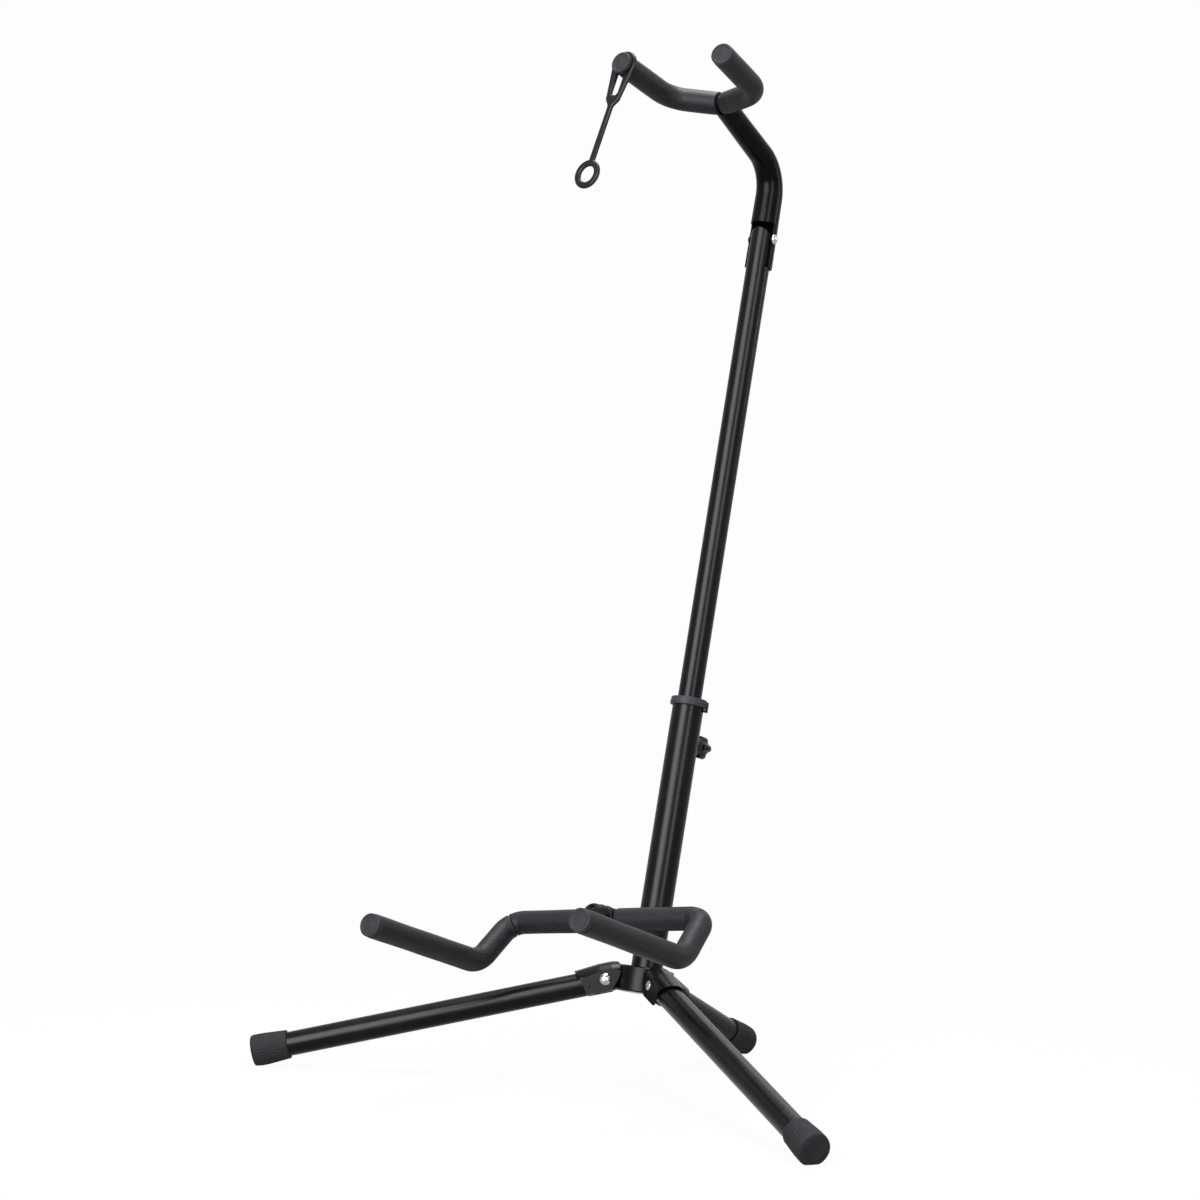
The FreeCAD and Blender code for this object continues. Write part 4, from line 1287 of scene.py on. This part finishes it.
@dataclass(frozen=True)
class Lamp:
    """An area lamp, in degrees to the camera's right and above level, metres and watts."""

    name: str
    swing: float
    lift: float
    distance: float
    size: Pair
    power: float
    colour: Colour = (0.96, 0.955, 1.0)
    aim_height: float = 0.42

    def hang(self, towards: Vector) -> None:
        """Add the lamp, with its swing from a direction."""
        data = bpy.data.lights.new(self.name, "AREA")
        data.shape = "RECTANGLE"
        data.size, data.size_y = self.size
        data.energy = self.power
        data.color = self.colour
        heading = math.atan2(towards.y, towards.x) + math.radians(self.swing)
        lift = math.radians(self.lift)
        level, rise = math.cos(lift) * self.distance, math.sin(lift) * self.distance
        away = Vector((level * math.cos(heading), level * math.sin(heading), rise))
        place = Vector((0, 0, self.aim_height)) + away
        linked(self.name, data).matrix_world = facing(place, away)


LAMPS = (
    Lamp("tall_left", -31, 20, 2.2, (1.45, 1.9), 170),
    Lamp("tall_right", 27, 20, 2.4, (0.6, 1.9), 52),
    Lamp("edge_strip", 96, 24, 2.2, (0.12, 1.2), 14),
    Lamp("overhead", 172, 80, 2.0, (1.3, 1.3), 120),
    Lamp("back_fill", 165, 30, 2.4, (1.0, 1.0), 5),
)


@dataclass
class Studio(Assembly):
    """A pale floor and backdrop, soft lamps and the photograph's camera."""

    sky: Colour = (0.97, 0.98, 1.0)
    sky_strength: float = 0.13
    white: Colour = (0.985, 0.985, 0.985)
    paper: Colour = (0.4, 0.4, 0.4)
    floor_radius: float = 9000
    floor_drop: float = 0.3
    floor_sides: int = 96
    floor_shade: float = 0.96
    floor_fade: Pair = (0.25, 1.1)
    camera_from_hub: Triple = (1.22165, -1.81905, 0.35827)
    forward: Triple = (-0.57386, 0.81849, -0.02765)
    upward: Triple = (-0.04040, 0.00543, 0.99917)
    lens: float = 84.195
    sensor: float = 36.0

    def make(self) -> None:
        """Build the world, the floor, the camera and the lamps."""
        self.make_world()
        self.make_floor()
        self.make_camera()
        for lamp in LAMPS:
            lamp.hang(-Vector(self.forward))
        bpy.context.scene.view_settings.view_transform = "Standard"

    def shown(self, sheet: ShaderSheet) -> Wire:
        """1 for what the camera sees itself or in a gloss or through glass."""
        seen = sheet.node("LightPath", {}, "Is Camera Ray")
        outputs = seen.socket.node.outputs
        gloss, through = Wire(sheet, outputs["Is Glossy Ray"]), outputs["Is Transmission Ray"]
        return (seen + gloss).maths("ADD", Wire(sheet, through), clip=True)

    def make_world(self) -> None:
        """A grey world that shows as white."""
        world = bpy.data.worlds.new("studio_world")
        bpy.context.scene.world = world
        sheet = ShaderSheet(world)
        grey, white = (
            sheet.node("Background", {"Color": (*shade, 1.0), "Strength": strength})
            for shade, strength in ((self.sky, self.sky_strength), (self.white, 1.0))
        )
        mixed = sheet.node("MixShader", {0: self.shown(sheet), 1: grey, 2: white})
        sheet.node("OutputWorld", {"Surface": mixed})

    def make_floor(self) -> None:
        """A round floor that fades into the backdrop and keeps a soft shadow."""
        skin = Skin("studio_floor")
        skin.ring([Vector((0, 0, 0))])
        skin.ring(circle(lambda angle: self.floor_radius, 0, self.floor_sides))
        material = bpy.data.materials.new("studio_paper")
        sheet = ShaderSheet(material)
        paper = sheet.node("BsdfDiffuse", {"Color": (*self.paper, 1.0)})
        light = sheet.node("Emission", {"Color": (*self.white, 1.0), "Strength": 1.0})
        away = sheet.node("VectorMath", {0: sheet.place()}, "Value", operation="LENGTH")
        share = away.step(*self.floor_fade) * (1 - self.floor_shade) + self.floor_shade
        inputs = {0: share * self.shown(sheet), 1: paper, 2: light}
        mixed = sheet.node("MixShader", inputs)
        sheet.node("OutputMaterial", {"Surface": mixed})
        skin.piece(shifted(0, 0, -self.floor_drop), material)

    def make_camera(self) -> None:
        """The camera at the photograph's place."""
        forward, up = Vector(self.forward).normalized(), Vector(self.upward).normalized()
        right = forward.cross(up).normalized()
        turn = Matrix((right, right.cross(forward), -forward)).transposed().to_4x4()
        data = bpy.data.cameras.new("photo_camera")
        data.lens = self.lens
        data.sensor_width = self.sensor
        camera = linked("photo_camera", data)
        place = self.frames.column.translation + Vector(self.camera_from_hub)
        camera.matrix_world = Matrix.Translation(place) @ turn
        bpy.context.scene.camera = camera


def main() -> None:
    """Load the frame and build the looks in order."""
    logging.basicConfig(level=logging.INFO, format="%(message)s")
    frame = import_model()
    frames = StandFrames({joint["name"]: joint for joint in frame["joints"]}, frame["nodes"])
    soft = (Cradle, Yoke, NeckStrap, LegBoots)
    for assembly in (*soft, Collar, ClampKnob, WeldBeads, SmallParts, SteelParts, Studio):
        assembly(frames).make()


if __name__ == "__main__":
    main()
